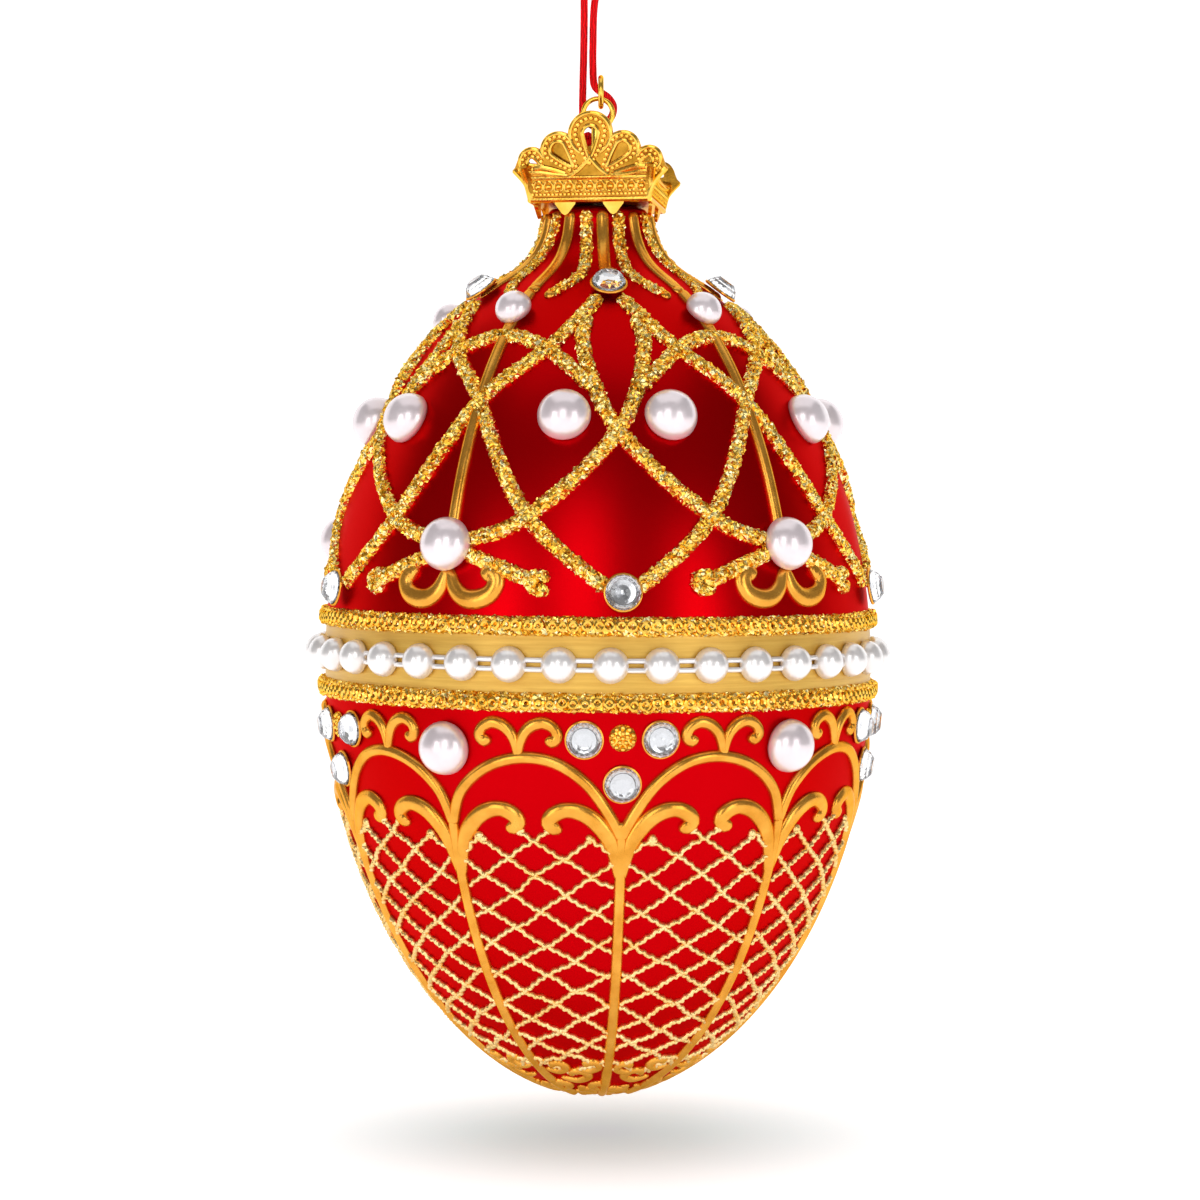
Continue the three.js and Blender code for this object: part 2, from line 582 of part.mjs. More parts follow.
addPiece(egg, 'glass_egg', glassEgg(), finish(COLOURS.lacquer, 0.3, 0.6));
addPiece(egg, 'upper_gilding', upperGilding(), finish(COLOURS.glitter, 0.4, 0.9));
addPiece(egg, 'lower_gilding', lowerGilding(), finish(COLOURS.gilding, 0.45, 0.8));
const waistNames = ['waist_line_upper', 'waist_line_lower'];
WAIST_LINE_Z.forEach((z, index) => {
  const line = waistLine(z).translate(0, 0, -CHAIN_Z);
  addPiece(waist, waistNames[index], line, finish(COLOURS.glitter, 0.4, 0.9));
});
addPiece(waist, 'pearl_chain', pearlChain().translate(0, 0, -CHAIN_Z), pearlFinish());
addPiece(egg, 'crown_cap', crownCap(), finish(COLOURS.crown, 0.3, 1));
addPiece(egg, 'jump_ring', jumpRing(), finish(COLOURS.crown, 0.3, 1));
addPiece(egg, 'hang_cord', hangCord(), finish(COLOURS.cord, 0.5, 0));
addPiece(egg, 'cord_knot', cordKnot(), finish(COLOURS.cord, 0.5, 0));

// What is set over the strands stands on them, and the rest stands on the glass
const onGold = GLITTER_HEIGHT + PIECE_GAP;
for (let unit = 0; unit < UNITS; unit += 1) {
  const centre = PATTERN_TURN + unit * UNIT_ANGLE;
  const between = centre + HALF_UNIT;
  const number = unit + 1;
  const setPearl = (name, diameter, angle, z, offset) => {
    addPiece(egg, `${name}_${number}`, seatOnGlass(halfPearl(diameter), angle, z, offset), pearlFinish());
  };
  const setStone = (name, angle, z, offset) => {
    addPiece(egg, `${name}_${number}`, seatOnGlass(crystal(), angle, z, offset), crystalFinish());
  };
  setStone('top_stone', centre, TOP_STONE_Z, onGold);
  setStone('tip_stone', centre, TIP_STONE_Z, onGold);
  setPearl('small_pearl', SMALL_PEARL_DIAMETER, between, SMALL_PEARL_Z, onGold);
  setPearl('pair_pearl_left', PEARL_DIAMETER, centre - PAIR_PEARL_ANGLE, PAIR_PEARL_Z, BED);
  setPearl('pair_pearl_right', PEARL_DIAMETER, centre + PAIR_PEARL_ANGLE, PAIR_PEARL_Z, BED);
  setPearl('anchor_pearl', PEARL_DIAMETER, between, ANCHOR_PEARL_Z, onGold);
  setPearl('lower_pearl', PEARL_DIAMETER, between, LOWER_PEARL_Z, BED);
  setStone('trio_stone_left', centre - TRIO_ANGLE, TRIO_Z[0], BED);
  setStone('trio_stone_right', centre + TRIO_ANGLE, TRIO_Z[0], BED);
  setStone('trio_stone_low', centre, TRIO_Z[1], BED);
}

export default ornament;
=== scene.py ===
# Jewelled glass egg hanging from a red cord: red lacquer, raised gold, half pearls, crystals and a crown cap.
# Sizes are in millimetres above the egg's lower tip and become metres, hung below the cord's loop, in toRow.
import math
import bmesh
import bpy
import numpy as np
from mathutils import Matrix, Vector


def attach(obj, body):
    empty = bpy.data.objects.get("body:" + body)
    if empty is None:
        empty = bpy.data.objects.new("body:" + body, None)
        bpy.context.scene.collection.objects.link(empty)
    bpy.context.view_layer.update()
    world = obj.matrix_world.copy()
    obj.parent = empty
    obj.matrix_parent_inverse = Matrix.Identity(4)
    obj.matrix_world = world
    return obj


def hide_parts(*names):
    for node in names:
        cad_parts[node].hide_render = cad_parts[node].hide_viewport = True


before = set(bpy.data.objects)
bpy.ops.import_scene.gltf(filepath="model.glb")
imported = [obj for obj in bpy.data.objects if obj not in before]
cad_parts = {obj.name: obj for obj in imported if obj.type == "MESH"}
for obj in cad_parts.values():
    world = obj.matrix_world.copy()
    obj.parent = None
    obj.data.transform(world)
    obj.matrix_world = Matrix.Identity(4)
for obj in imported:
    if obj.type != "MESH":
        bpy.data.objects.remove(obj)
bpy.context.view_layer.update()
rng = np.random.default_rng(20)
hangLength = 146.0  # from the egg's lower tip up to the top of the cord's loop


def toRow(points):
    rows = np.array(points, dtype=float).reshape(-1, 3)
    return (rows - np.array([0.0, 0.0, hangLength])) * 0.001


# Camera, at the photograph's place
cameraSettings = {"distance": 330.0, "side": 0.24, "height": 69.6, "pitch": 1.81, "lens": 82.5}


def makeCamera(s):
    data = bpy.data.cameras.new("camera")
    data.lens = s["lens"]
    data.clip_start = 0.01
    cam = bpy.data.objects.new("camera", data)
    bpy.context.collection.objects.link(cam)
    cam.location = toRow([s["side"], -s["distance"], s["height"]])[0]
    cam.rotation_euler = (math.radians(90 - s["pitch"]), 0, 0)
    bpy.context.scene.camera = cam


makeCamera(cameraSettings)
print("camera set")


# Materials
def newMaterial(name):
    mat = bpy.data.materials.new(name)
    mat.use_nodes = True
    return mat, mat.node_tree, mat.node_tree.nodes["Principled BSDF"]


def setPlain(shader, **values):
    for key, value in values.items():
        shader.inputs[key.replace("_", " ")].default_value = value


def noiseInto(tree, scale, detail=3.0, roughness=0.55):
    coords = tree.nodes.new("ShaderNodeTexCoord")
    noise = tree.nodes.new("ShaderNodeTexNoise")
    noise.inputs["Scale"].default_value = scale
    noise.inputs["Detail"].default_value = detail
    noise.inputs["Roughness"].default_value = roughness
    tree.links.new(coords.outputs["Object"], noise.inputs["Vector"])
    return noise


def rampFrom(tree, source, stops):
    ramp = tree.nodes.new("ShaderNodeValToRGB")
    while len(ramp.color_ramp.elements) < len(stops):
        ramp.color_ramp.elements.new(0.5)
    for element, (place, colour) in zip(ramp.color_ramp.elements, stops):
        element.position = place
        element.color = (*colour, 1)
    tree.links.new(source, ramp.inputs["Fac"])
    return ramp


def cloudColour(tree, shader, source, low, high):
    ramp = rampFrom(tree, source, [(0.3, low), (0.7, high)])
    tree.links.new(ramp.outputs["Color"], shader.inputs["Base Color"])


def spreadInto(tree, source, socket, low, high):
    spread = tree.nodes.new("ShaderNodeMapRange")
    spread.inputs["To Min"].default_value = low
    spread.inputs["To Max"].default_value = high
    tree.links.new(source, spread.inputs["Value"])
    tree.links.new(spread.outputs["Result"], socket)


def bumpInto(tree, shader, source, strength, distance):
    bump = tree.nodes.new("ShaderNodeBump")
    bump.inputs["Strength"].default_value = strength
    bump.inputs["Distance"].default_value = distance
    tree.links.new(source, bump.inputs["Height"])
    tree.links.new(bump.outputs["Normal"], shader.inputs["Normal"])


def lacquerFinish():
    mat, tree, shader = newMaterial("redLacquer")
    cloud = noiseInto(tree, 40, 2)
    cloudColour(tree, shader, cloud.outputs["Fac"], (0.5, 0.0, 0.002), (0.56, 0.0, 0.003))
    setPlain(shader, Metallic=0.95, Specular_Tint=(1.0, 0.12, 0.1, 1))
    grain = noiseInto(tree, 5200, 2)
    spreadInto(tree, grain.outputs["Fac"], shader.inputs["Roughness"], 0.3, 0.38)
    bumpInto(tree, shader, grain.outputs["Fac"], 0.12, 0.00004)
    return mat


def bandFinish():
    mat, tree, shader = newMaterial("mattGoldBand")
    streak = noiseInto(tree, 300, 4, 0.7)
    stretch = tree.nodes.new("ShaderNodeMapping")
    stretch.inputs["Scale"].default_value = (0.25, 0.25, 6)
    tree.links.new(streak.inputs["Vector"].links[0].from_socket, stretch.inputs["Vector"])
    tree.links.new(stretch.outputs["Vector"], streak.inputs["Vector"])
    cloudColour(tree, shader, streak.outputs["Fac"], (0.64, 0.34, 0.045), (0.82, 0.51, 0.095))
    setPlain(shader, Metallic=0.4, Roughness=0.42)
    bumpInto(tree, shader, streak.outputs["Fac"], 0.4, 0.0001)
    return mat


def paintFinish(name, low, high, roughness):
    mat, tree, shader = newMaterial(name)
    cloud = noiseInto(tree, 350, 3)
    cloudColour(tree, shader, cloud.outputs["Fac"], low, high)
    setPlain(shader, Metallic=0.9, Specular_Tint=(1.0, 0.72, 0.36, 1))
    spreadInto(tree, cloud.outputs["Fac"], shader.inputs["Roughness"], roughness - 0.06, roughness + 0.08)
    fine = noiseInto(tree, 2500, 2)
    bumpInto(tree, shader, fine.outputs["Fac"], 0.25, 0.00006)
    return mat


def glitterFinish():
    mat, tree, shader = newMaterial("goldGlitter")
    coords = tree.nodes.new("ShaderNodeTexCoord")
    cells = tree.nodes.new("ShaderNodeTexVoronoi")
    cells.inputs["Scale"].default_value = 2700
    tree.links.new(coords.outputs["Object"], cells.inputs["Vector"])
    pick = tree.nodes.new("ShaderNodeSeparateColor")
    tree.links.new(cells.outputs["Color"], pick.inputs["Color"])
    stops = [(0.0, (0.55, 0.24, 0.015)), (0.25, (0.95, 0.52, 0.05)),
             (0.6, (1.0, 0.7, 0.14)), (1.0, (1.0, 0.92, 0.5))]
    ramp = rampFrom(tree, pick.outputs["Red"], stops)
    tree.links.new(ramp.outputs["Color"], shader.inputs["Base Color"])
    setPlain(shader, Metallic=0.95, Roughness=0.24, Specular_Tint=(1.0, 0.66, 0.2, 1))
    # Each flake tips its own way, by up to this much along each axis
    tilt = 0.38
    lean = tree.nodes.new("ShaderNodeVectorMath")
    lean.operation = "MULTIPLY_ADD"
    lean.inputs[1].default_value = (2 * tilt, 2 * tilt, 2 * tilt)
    lean.inputs[2].default_value = (-tilt, -tilt, -tilt)
    tree.links.new(cells.outputs["Color"], lean.inputs[0])
    surface = tree.nodes.new("ShaderNodeNewGeometry")
    tilted = tree.nodes.new("ShaderNodeVectorMath")
    tilted.operation = "ADD"
    tree.links.new(surface.outputs["Normal"], tilted.inputs[0])
    tree.links.new(lean.outputs["Vector"], tilted.inputs[1])
    level = tree.nodes.new("ShaderNodeVectorMath")
    level.operation = "NORMALIZE"
    tree.links.new(tilted.outputs["Vector"], level.inputs[0])
    tree.links.new(level.outputs["Vector"], shader.inputs["Normal"])
    return mat


def pearlFinish(name, low, high):
    mat, tree, shader = newMaterial(name)
    cloud = noiseInto(tree, 260, 2)
    cloudColour(tree, shader, cloud.outputs["Fac"], low, high)
    setPlain(shader, Metallic=0.5, Roughness=0.29, Coat_Weight=0.6, Coat_Roughness=0.15)
    fine = noiseInto(tree, 1500, 2)
    bumpInto(tree, shader, fine.outputs["Fac"], 0.05, 0.00003)
    return mat


def crystalFinish():
    mat, tree, shader = newMaterial("clearCrystal")
    setPlain(shader, Base_Color=(1, 1, 1, 1), Roughness=0.02, IOR=1.55, Transmission_Weight=1.0)
    return mat


def foilFinish():
    mat, tree, shader = newMaterial("silverFoil")
    setPlain(shader, Base_Color=(0.66, 0.67, 0.7, 1), Metallic=1.0)
    cloud = noiseInto(tree, 900, 2)
    spreadInto(tree, cloud.outputs["Fac"], shader.inputs["Roughness"], 0.08, 0.2)
    return mat


def crownFinish(name, low, high, roughness):
    mat, tree, shader = newMaterial(name)
    cloud = noiseInto(tree, 500, 3)
    cloudColour(tree, shader, cloud.outputs["Fac"], low, high)
    setPlain(shader, Metallic=1.0, Specular_Tint=(1.0, 0.7, 0.3, 1))
    spreadInto(tree, cloud.outputs["Fac"], shader.inputs["Roughness"], roughness - 0.04, roughness + 0.06)
    fine = noiseInto(tree, 4000, 2)
    bumpInto(tree, shader, fine.outputs["Fac"], 0.2, 0.00005)
    return mat


def cordFinish():
    mat, tree, shader = newMaterial("redSatinCord")
    coords = tree.nodes.new("ShaderNodeTexCoord")
    wave = tree.nodes.new("ShaderNodeTexWave")
    wave.inputs["Scale"].default_value = 900
    wave.inputs["Distortion"].default_value = 6
    wave.inputs["Detail"].default_value = 2
    tree.links.new(coords.outputs["Object"], wave.inputs["Vector"])
    ramp = rampFrom(tree, wave.outputs["Fac"], [(0.1, (0.5, 0.0, 0.001)), (0.8, (0.95, 0.002, 0.006))])
    tree.links.new(ramp.outputs["Color"], shader.inputs["Base Color"])
    setPlain(shader, Roughness=0.6, Specular_IOR_Level=0.12)
    bumpInto(tree, shader, wave.outputs["Fac"], 0.5, 0.0001)
    return mat


redLacquer = lacquerFinish()
mattGoldBand = bandFinish()
goldPaint = paintFinish("goldPaint", (0.7, 0.29, 0.032), (0.9, 0.44, 0.072), 0.24)
paleGoldPaint = paintFinish("paleGoldPaint", (0.9, 0.56, 0.18), (1.0, 0.75, 0.36), 0.3)
goldGlitter = glitterFinish()
pearlCoat = pearlFinish("pearlCoat", (0.86, 0.75, 0.78), (0.92, 0.83, 0.86))
whitePearlCoat = pearlFinish("whitePearlCoat", (0.88, 0.84, 0.83), (0.93, 0.9, 0.89))
clearCrystal = crystalFinish()
silverFoil = foilFinish()
crownGold = crownFinish("crownGold", (0.85, 0.46, 0.05), (1.0, 0.66, 0.13), 0.16)
# Darker gold on the crown's plates, well floors and square floor: painted shade in the recesses behind the
# raised wires and beads
crownPaintedShade = crownFinish("crownPaintedShade", (0.36, 0.16, 0.012), (0.72, 0.36, 0.04), 0.24)
redSatinCord = cordFinish()
print("materials made")


# Meshes
def joinPoles(mesh):
    # Rings of no radius become single points
    work = bmesh.new()
    work.from_mesh(mesh)
    bmesh.ops.remove_doubles(work, verts=work.verts, dist=1e-7)
    work.to_mesh(mesh)
    work.free()
    mesh.update()


def makePiece(name, points, faces, materials, replaces=(), smooth=True, faceMaterials=None):
    mesh = bpy.data.meshes.new(name)
    mesh.from_pydata(toRow(points).tolist(), [], [list(map(int, face)) for face in faces])
    for mat in materials:
        mesh.materials.append(mat)
    if faceMaterials is not None:
        mesh.polygons.foreach_set("material_index", np.asarray(faceMaterials, dtype=np.int32))
    mesh.polygons.foreach_set("use_smooth", np.full(len(mesh.polygons), smooth))
    joinPoles(mesh)
    piece = bpy.data.objects.new(name, mesh)
    bpy.context.collection.objects.link(piece)
    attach(piece, "root")
    if replaces:
        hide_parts(*replaces)
    return piece


def sharpen(piece, degrees):
    # Edges bent by more than this stay crisp
    piece.data.set_sharp_from_angle(angle=math.radians(degrees))


# Gathers many small meshes into one
class Heap:
    def __init__(self):
        self.points = []
        self.faces = []
        self.marks = []
        self.count = 0

    def add(self, points, faces, mark=0):
        points = np.asarray(points, dtype=float).reshape(-1, 3)
        self.points.append(points)
        self.faces.extend([tuple(index + self.count for index in face) for face in faces])
        self.marks.extend([mark] * len(faces))
        self.count += len(points)

    def make(self, name, materials, slot, replaces=(), smooth=True):
        points = np.concatenate(self.points)
        return makePiece(name, points, self.faces, materials, replaces, smooth, self.marks)


def fullTurn(count):
    return np.linspace(0, 2 * np.pi, count, endpoint=False)


def gridFaces(rows, columns):
    faces = []
    for row in range(rows - 1):
        for column in range(columns):
            nextColumn = (column + 1) % columns
            faces.append((row * columns + column, row * columns + nextColumn,
                          (row + 1) * columns + nextColumn, (row + 1) * columns + column))
    return faces


def lathe(profile, sides):
    # The profile's ends are on the axis, or it closes on itself
    profile = np.asarray(profile, dtype=float)
    turn = fullTurn(sides)
    points = np.stack([profile[:, :1] * np.sin(turn), -profile[:, :1] * np.cos(turn),
                       np.repeat(profile[:, 1:], sides, axis=1)], axis=-1).reshape(-1, 3)
    return points, gridFaces(len(profile), sides)


# The glass's surface, as in the solid model
glass = {"radius": 32.6, "waist": 52.0, "domeHeight": 48.5, "lowerFullness": 0.555, "upperFullness": 0.52,
         "wall": 1.1, "flare": 95.8, "flarePull": 1.92, "neck": 6.2, "neckTop": 105.6, "neckPull": 6.6,
         "band": (49.0, 57.3), "sides": 180}


def domeRadius(z):
    z = np.asarray(z, dtype=float)
    below = z < glass["waist"]
    rise = np.abs(z - glass["waist"]) / np.where(below, glass["waist"], glass["domeHeight"])
    fullness = np.where(below, glass["lowerFullness"], glass["upperFullness"])
    return glass["radius"] * np.clip(1 - rise ** 2, 0, 1) ** fullness


def flareCurve():
    start, pull = glass["flare"], glass["flarePull"]
    base = float(domeRadius(start))
    slope = float(domeRadius(start + 0.01) - domeRadius(start - 0.01)) / 0.02
    knots = np.array([[base, start], [base + slope * pull, start + pull],
                      [glass["neck"] + 0.3, glass["neckTop"] - glass["neckPull"]],
                      [glass["neck"], glass["neckTop"]]])
    t = np.linspace(0, 1, 61)[:, None]
    return ((1 - t) ** 3 * knots[0] + 3 * (1 - t) ** 2 * t * knots[1]
            + 3 * (1 - t) * t ** 2 * knots[2] + t ** 3 * knots[3])


flareTable = flareCurve()


def glassRadius(z):
    z = np.asarray(z, dtype=float)
    return np.where(z <= glass["flare"], domeRadius(z), np.interp(z, flareTable[:, 1], flareTable[:, 0]))


def onGlass(angle, z, offset=0.0):
    # Points on the glass and the ways out of it, for arrays of angles in degrees and heights
    angle, z = np.broadcast_arrays(np.radians(np.asarray(angle, dtype=float)), np.asarray(z, dtype=float))
    low = np.maximum(z - 0.02, 0)
    slope = (glassRadius(z + 0.02) - glassRadius(low)) / (z + 0.02 - low)
    normal = np.stack([np.sin(angle), -np.cos(angle), -slope], axis=-1)
    normal /= np.linalg.norm(normal, axis=-1, keepdims=True)
    radius = glassRadius(z)
    point = np.stack([np.sin(angle) * radius, -np.cos(angle) * radius, z], axis=-1)
    return point + normal * np.asarray(offset)[..., None], normal


def nearby(angle, z, across, up):
    _, normal = onGlass(angle, z)
    height = z + up * math.hypot(normal[0], normal[1])
    return angle + math.degrees(across / float(glassRadius(height))), height


def curveThrough(route, spots):
    # Uniform Catmull-Rom through the route, as the solid model draws it
    route = np.asarray(route, dtype=float)
    last = len(route) - 1
    place = np.clip(spots, 0, 1) * last
    index = np.minimum(place.astype(int), last - 1)
    w = (place - index)[:, None]
    a, b = route[np.maximum(index - 1, 0)], route[index]
    c, d = route[index + 1], route[np.minimum(index + 2, last)]
    return (b + 0.5 * w * (c - a) + w ** 2 * (a - 2.5 * b + 2 * c - 0.5 * d)
            + w ** 3 * (1.5 * (b - c) + 0.5 * (d - a)))


def evenRoute(route, step):
    # Angles and heights at even steps along the glass
    fine = curveThrough(route, np.linspace(0, 1, 400))
    points, _ = onGlass(fine[:, 0], fine[:, 1])
    run = np.concatenate([[0], np.cumsum(np.linalg.norm(np.diff(points, axis=0), axis=1))])
    count = max(4, int(round(run[-1] / step)))
    marks = np.linspace(0, run[-1], count + 1)
    return np.stack([np.interp(marks, run, fine[:, 0]), np.interp(marks, run, fine[:, 1])], axis=1), marks


def laidLine(heap, route, width, height, step, sides, taper=(0.6, 0.6), swell=None, grain=0.0, roll=None,
             sink=0.12):
    # A raised line on the glass: a half round section that follows the route
    spots, marks = evenRoute(route, step)
    points, normals = onGlass(spots[:, 0], spots[:, 1])
    along = np.gradient(points, axis=0)
    along /= np.linalg.norm(along, axis=1, keepdims=True)
    side = np.cross(along, normals)
    side /= np.linalg.norm(side, axis=1, keepdims=True)
    length = marks[-1]
    shape = np.ones(len(marks))
    for distance, end in ((marks, taper[0]), (length - marks, taper[1])):
        reach = width * 0.5
        near = np.clip(distance / reach, 0, 1)
        shape *= end + (1 - end) * np.sqrt(np.clip(1 - (1 - near) ** 2, 0, 1))
    if swell is not None:
        shape = shape * swell(marks / length)
    turn = np.linspace(0, np.pi, sides)
    across = np.cos(turn)[None, :] * (width / 2 * shape)[:, None]
    up = np.sin(turn)[None, :] * (height * np.sqrt(shape))[:, None]
    up[:, [0, -1]] -= sink
    if roll is not None:
        sway, pulse = roll(marks)
        across = across + sway[:, None]
        up = up * pulse[:, None]
    ring = points[:, None] + side[:, None] * across[..., None] + normals[:, None] * up[..., None]
    if grain:
        ring = ring + rng.normal(0, grain, ring.shape)
    rows = len(marks)
    faces = [(b, a, d, c) for a, b, c, d in gridFaces(rows, sides)]
    faces.append(tuple(range(sides)))
    faces.append(tuple(reversed(range((rows - 1) * sides, rows * sides))))
    heap.add(ring.reshape(-1, 3), faces)


def seated(points, angle, z, offset):
    # Stands a small mesh on the glass, its +Z out of the surface and its +Y up the egg
    spot, normal = onGlass(angle, z, offset)
    side = np.array([math.cos(math.radians(angle)), math.sin(math.radians(angle)), 0])
    up = np.cross(normal, side)
    points = np.asarray(points, dtype=float)
    return spot + points[:, :1] * side + points[:, 1:2] * up + points[:, 2:] * normal


def ball(centre, radius, columns=8, rows=6):
    rise = np.linspace(-np.pi / 2, np.pi / 2, rows)
    profile = np.stack([np.cos(rise) * radius, np.sin(rise) * radius], axis=1)
    points, faces = lathe(profile, columns)
    return points + np.asarray(centre), faces


def tube(points, radius, sides, closed=False):
    # A round wire along points in space
    points = np.asarray(points, dtype=float)
    if closed:
        along = np.roll(points, -1, axis=0) - np.roll(points, 1, axis=0)
    else:
        along = np.gradient(points, axis=0)
    along /= np.linalg.norm(along, axis=1, keepdims=True)
    side = np.zeros_like(points)
    guide = np.array([0, 0, 1.0]) if abs(along[0][2]) < 0.9 else np.array([1.0, 0, 0])
    for i, way in enumerate(along):
        guide = guide - way * guide.dot(way)
        guide /= np.linalg.norm(guide)
        side[i] = guide
    other = np.cross(along, side)
    turn = fullTurn(sides)
    ring = (points[:, None] + side[:, None] * (np.cos(turn) * radius)[None, :, None]
            + other[:, None] * (np.sin(turn) * radius)[None, :, None])
    faces = gridFaces(len(points), sides)
    if closed:
        end = (len(points) - 1) * sides
        faces += [(end + c, end + (c + 1) % sides, (c + 1) % sides, c) for c in range(sides)]
    else:
        faces += [tuple(reversed(range(sides))), tuple(range((len(points) - 1) * sides, len(points) * sides))]
    return ring.reshape(-1, 3), faces


# Cord and its knot, on the route that the solid model gives
cord = {"diameter": 0.9, "knotRadius": 1.05, "knot": (-1.45, 1.9, 114.5),
        "route": [(-1.8, 1.8, 115.95), (-1.85, 1.6, 118), (-1.8, 1.2, 121), (-1.7, 0.9, 125),
                  (-1.65, 0.5, 130), (-1.75, 0.2, 134.5), (-2.1, 0.05, 139), (-2.0, 0, 143),
                  (-1.1, 0, 145.5), (0, 0, 146), (1.1, 0, 145.5), (1.85, 0, 143), (1.5, 0.05, 139),
                  (0.3, 0.2, 134.5), (-0.45, 0.5, 130), (-0.6, 0.9, 125.5), (-0.6, 0.95, 122.9),
                  (-0.45, 0.6, 120.8), (0.35, 0.3, 119.85), (1.25, 0.7, 119.25), (1.85, 1.15, 118.3),
                  (1.6, 1.5, 117.1), (0.6, 1.7, 116.3), (-0.35, 1.8, 115.6)]}


def hangCord(s):
    fine = curveThrough(s["route"], np.linspace(0, 1, 260))
    data = bpy.data.curves.new("satinCord", "CURVE")
    data.dimensions = "3D"
    data.bevel_depth = s["diameter"] / 2 * 0.001
    data.bevel_resolution = 4
    data.use_fill_caps = True
    spline = data.splines.new("POLY")
    spline.points.add(len(fine) - 1)
    spline.points.foreach_set("co", np.concatenate([toRow(fine), np.ones((len(fine), 1))], axis=1).ravel())
    spline.use_smooth = True
    data.materials.append(redSatinCord)
    piece = bpy.data.objects.new("satinCord", data)
    bpy.context.collection.objects.link(piece)
    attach(piece, "root")
    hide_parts("hang_cord")
    # A trefoil knot, in shares of its radius
    turns = fullTurn(90)
    reach = 0.55 + 0.22 * np.cos(3 * turns)
    loops = np.stack([np.cos(2 * turns) * reach, np.sin(2 * turns) * reach, 0.4 * np.sin(3 * turns)], axis=1)
    points, faces = tube(loops * s["knotRadius"] + np.array(s["knot"]), s["diameter"] * 0.42, 10, closed=True)
    knot = makePiece("cordKnot", points, faces, [redSatinCord], ["cord_knot"])


hangCord(cord)
print("cord hung")


# Pattern shared by the gold work and the stones
pattern = {"units": 5, "turn": 4.8, "topStone": 95.2, "tipStone": 60.9, "smallPearl": 92.2, "pairPearl": 80.2,
           "pairAngle": 12.8, "anchorPearl": 66.0, "lowerPearl": 43.8, "trio": (45.0, 40.1), "trioAngle": 7.4,
           "chaton": 45.2}
unitAngle = 360 / pattern["units"]
halfUnit = unitAngle / 2
unitCentres = [pattern["turn"] + unit * unitAngle for unit in range(pattern["units"])]


# Glass body with its painted waist
def glassBody(s):
    rise = np.linspace(0, np.pi / 2, 70)
    lower = s["waist"] * (1 - np.cos(rise))
    upper = s["waist"] + (s["flare"] - s["waist"]) * np.sin(rise[1:])
    z = np.sort(np.concatenate([lower, upper, s["band"]]))
    outer = np.stack([glassRadius(z), z], axis=1)
    outer = np.concatenate([outer, flareTable[4::3], [[s["neck"] - s["wall"] / 2, s["neckTop"] + 0.1]]])
    inner = outer[::-3][1:].copy()
    inner[:, 0] = np.maximum(inner[:, 0] - s["wall"], 0)
    inner[:, 1] = np.clip(inner[:, 1], s["wall"], s["neckTop"])
    profile = np.concatenate([outer, [[s["neck"] - s["wall"], s["neckTop"]]], inner, [[0, s["wall"]]]])
    points, faces = lathe(profile, s["sides"])
    # Only the outside of the waist is painted gold
    middle = (profile[:-1, 1] + profile[1:, 1]) / 2
    painted = (middle > s["band"][0]) & (middle < s["band"][1]) & (np.arange(len(middle)) < len(outer))
    marks = np.repeat(painted.astype(int), s["sides"])
    makePiece("glassBody", points, faces, [redLacquer, mattGoldBand], ["glass_egg"],
              faceMaterials=marks)


glassBody(glass)
print("glass made")

# Raised gold on the upper half; each route is angles from the unit's middle and heights
tracery = {"width": 1.75, "height": 0.85, "grain": 0.095, "step": 0.24, "sides": 11, "taper": (0.55, 0.55),
           "star": [(5, 94), (20, 88), (36, 82), (53, 69), (69, 61.4)],
           "lens": [(-8.5, 91.6), (-9, 88), (0, 78.7), (20, 69), (36, 66), (55.5, 62)],
           "swag": [(30, 83.5), (16, 88), (0, 89.6)], "curlRadius": 0.9, "curlWidth": 1.35,
           "lineWidth": 1.5, "lineHeight": 0.72, "lineStep": 0.4, "lineSides": 12,
           "spine": (95, 92, 82, 68), "scrollWidth": 2.2, "scrollStep": 0.25,
           "scroll": [(0.2, -2.6), (0.95, -4.6), (2.2, -5.75), (3.85, -5.95), (5.4, -5.3), (6, -4),
                      (5.35, -3), (4.4, -3.4)],
           "neckLines": 20, "neckWidth": 1.45, "neckHeight": 0.55,
           "glitterNeck": [(0, 105), (-4, 98.8), (-2, 96.7), (8, 94.6)], "glitterDrop": (0.72, 0.5),
           "plainNeck": (105, 100, 95.3), "plainDrop": (0.85, 0.55)}


def glitterLine(heap, route, s, width=None, height=None):
    laidLine(heap, route, width or s["width"], height or s["height"], s["step"], s["sides"],
             taper=s["taper"], grain=s["grain"])


def goldBlob(heap, angle, z, radius, height):
    # A low round drop where the pen stopped
    turns = np.linspace(0, np.pi / 2, 7)
    points, faces = lathe([(0, -0.1)] + [(math.cos(a) * radius, math.sin(a) * height) for a in turns], 22)
    heap.add(seated(points, angle, z, 0), faces)


def unitTracery(centre, s):
    heap = Heap()
    for side in (-1, 1):
        for route in (s["star"], s["lens"]):
            glitterLine(heap, [(centre + side * angle, z) for angle, z in route], s)
        endAngle, endZ = s["lens"][-1]
        curl = [nearby(centre + side * endAngle, endZ, s["curlRadius"] * math.cos(turn),
                       s["curlRadius"] * math.sin(turn)) for turn in np.linspace(0.2, 6.0, 9)]
        glitterLine(heap, curl, s, width=s["curlWidth"])
    between = centre + halfUnit
    swag = [(between - angle, z) for angle, z in s["swag"]]
    swag += [(between + angle, z) for angle, z in s["swag"][-2::-1]]
    glitterLine(heap, swag, s)
    return heap


def scrollSwell(share):
    # Thin at the root, full in the middle and round again where the pen stopped
    middle = np.sin(np.clip(share, 0, 1) * np.pi) ** 0.8
    return 0.5 + 0.55 * middle + 0.45 * np.clip((share - 0.72) / 0.28, 0, 1)


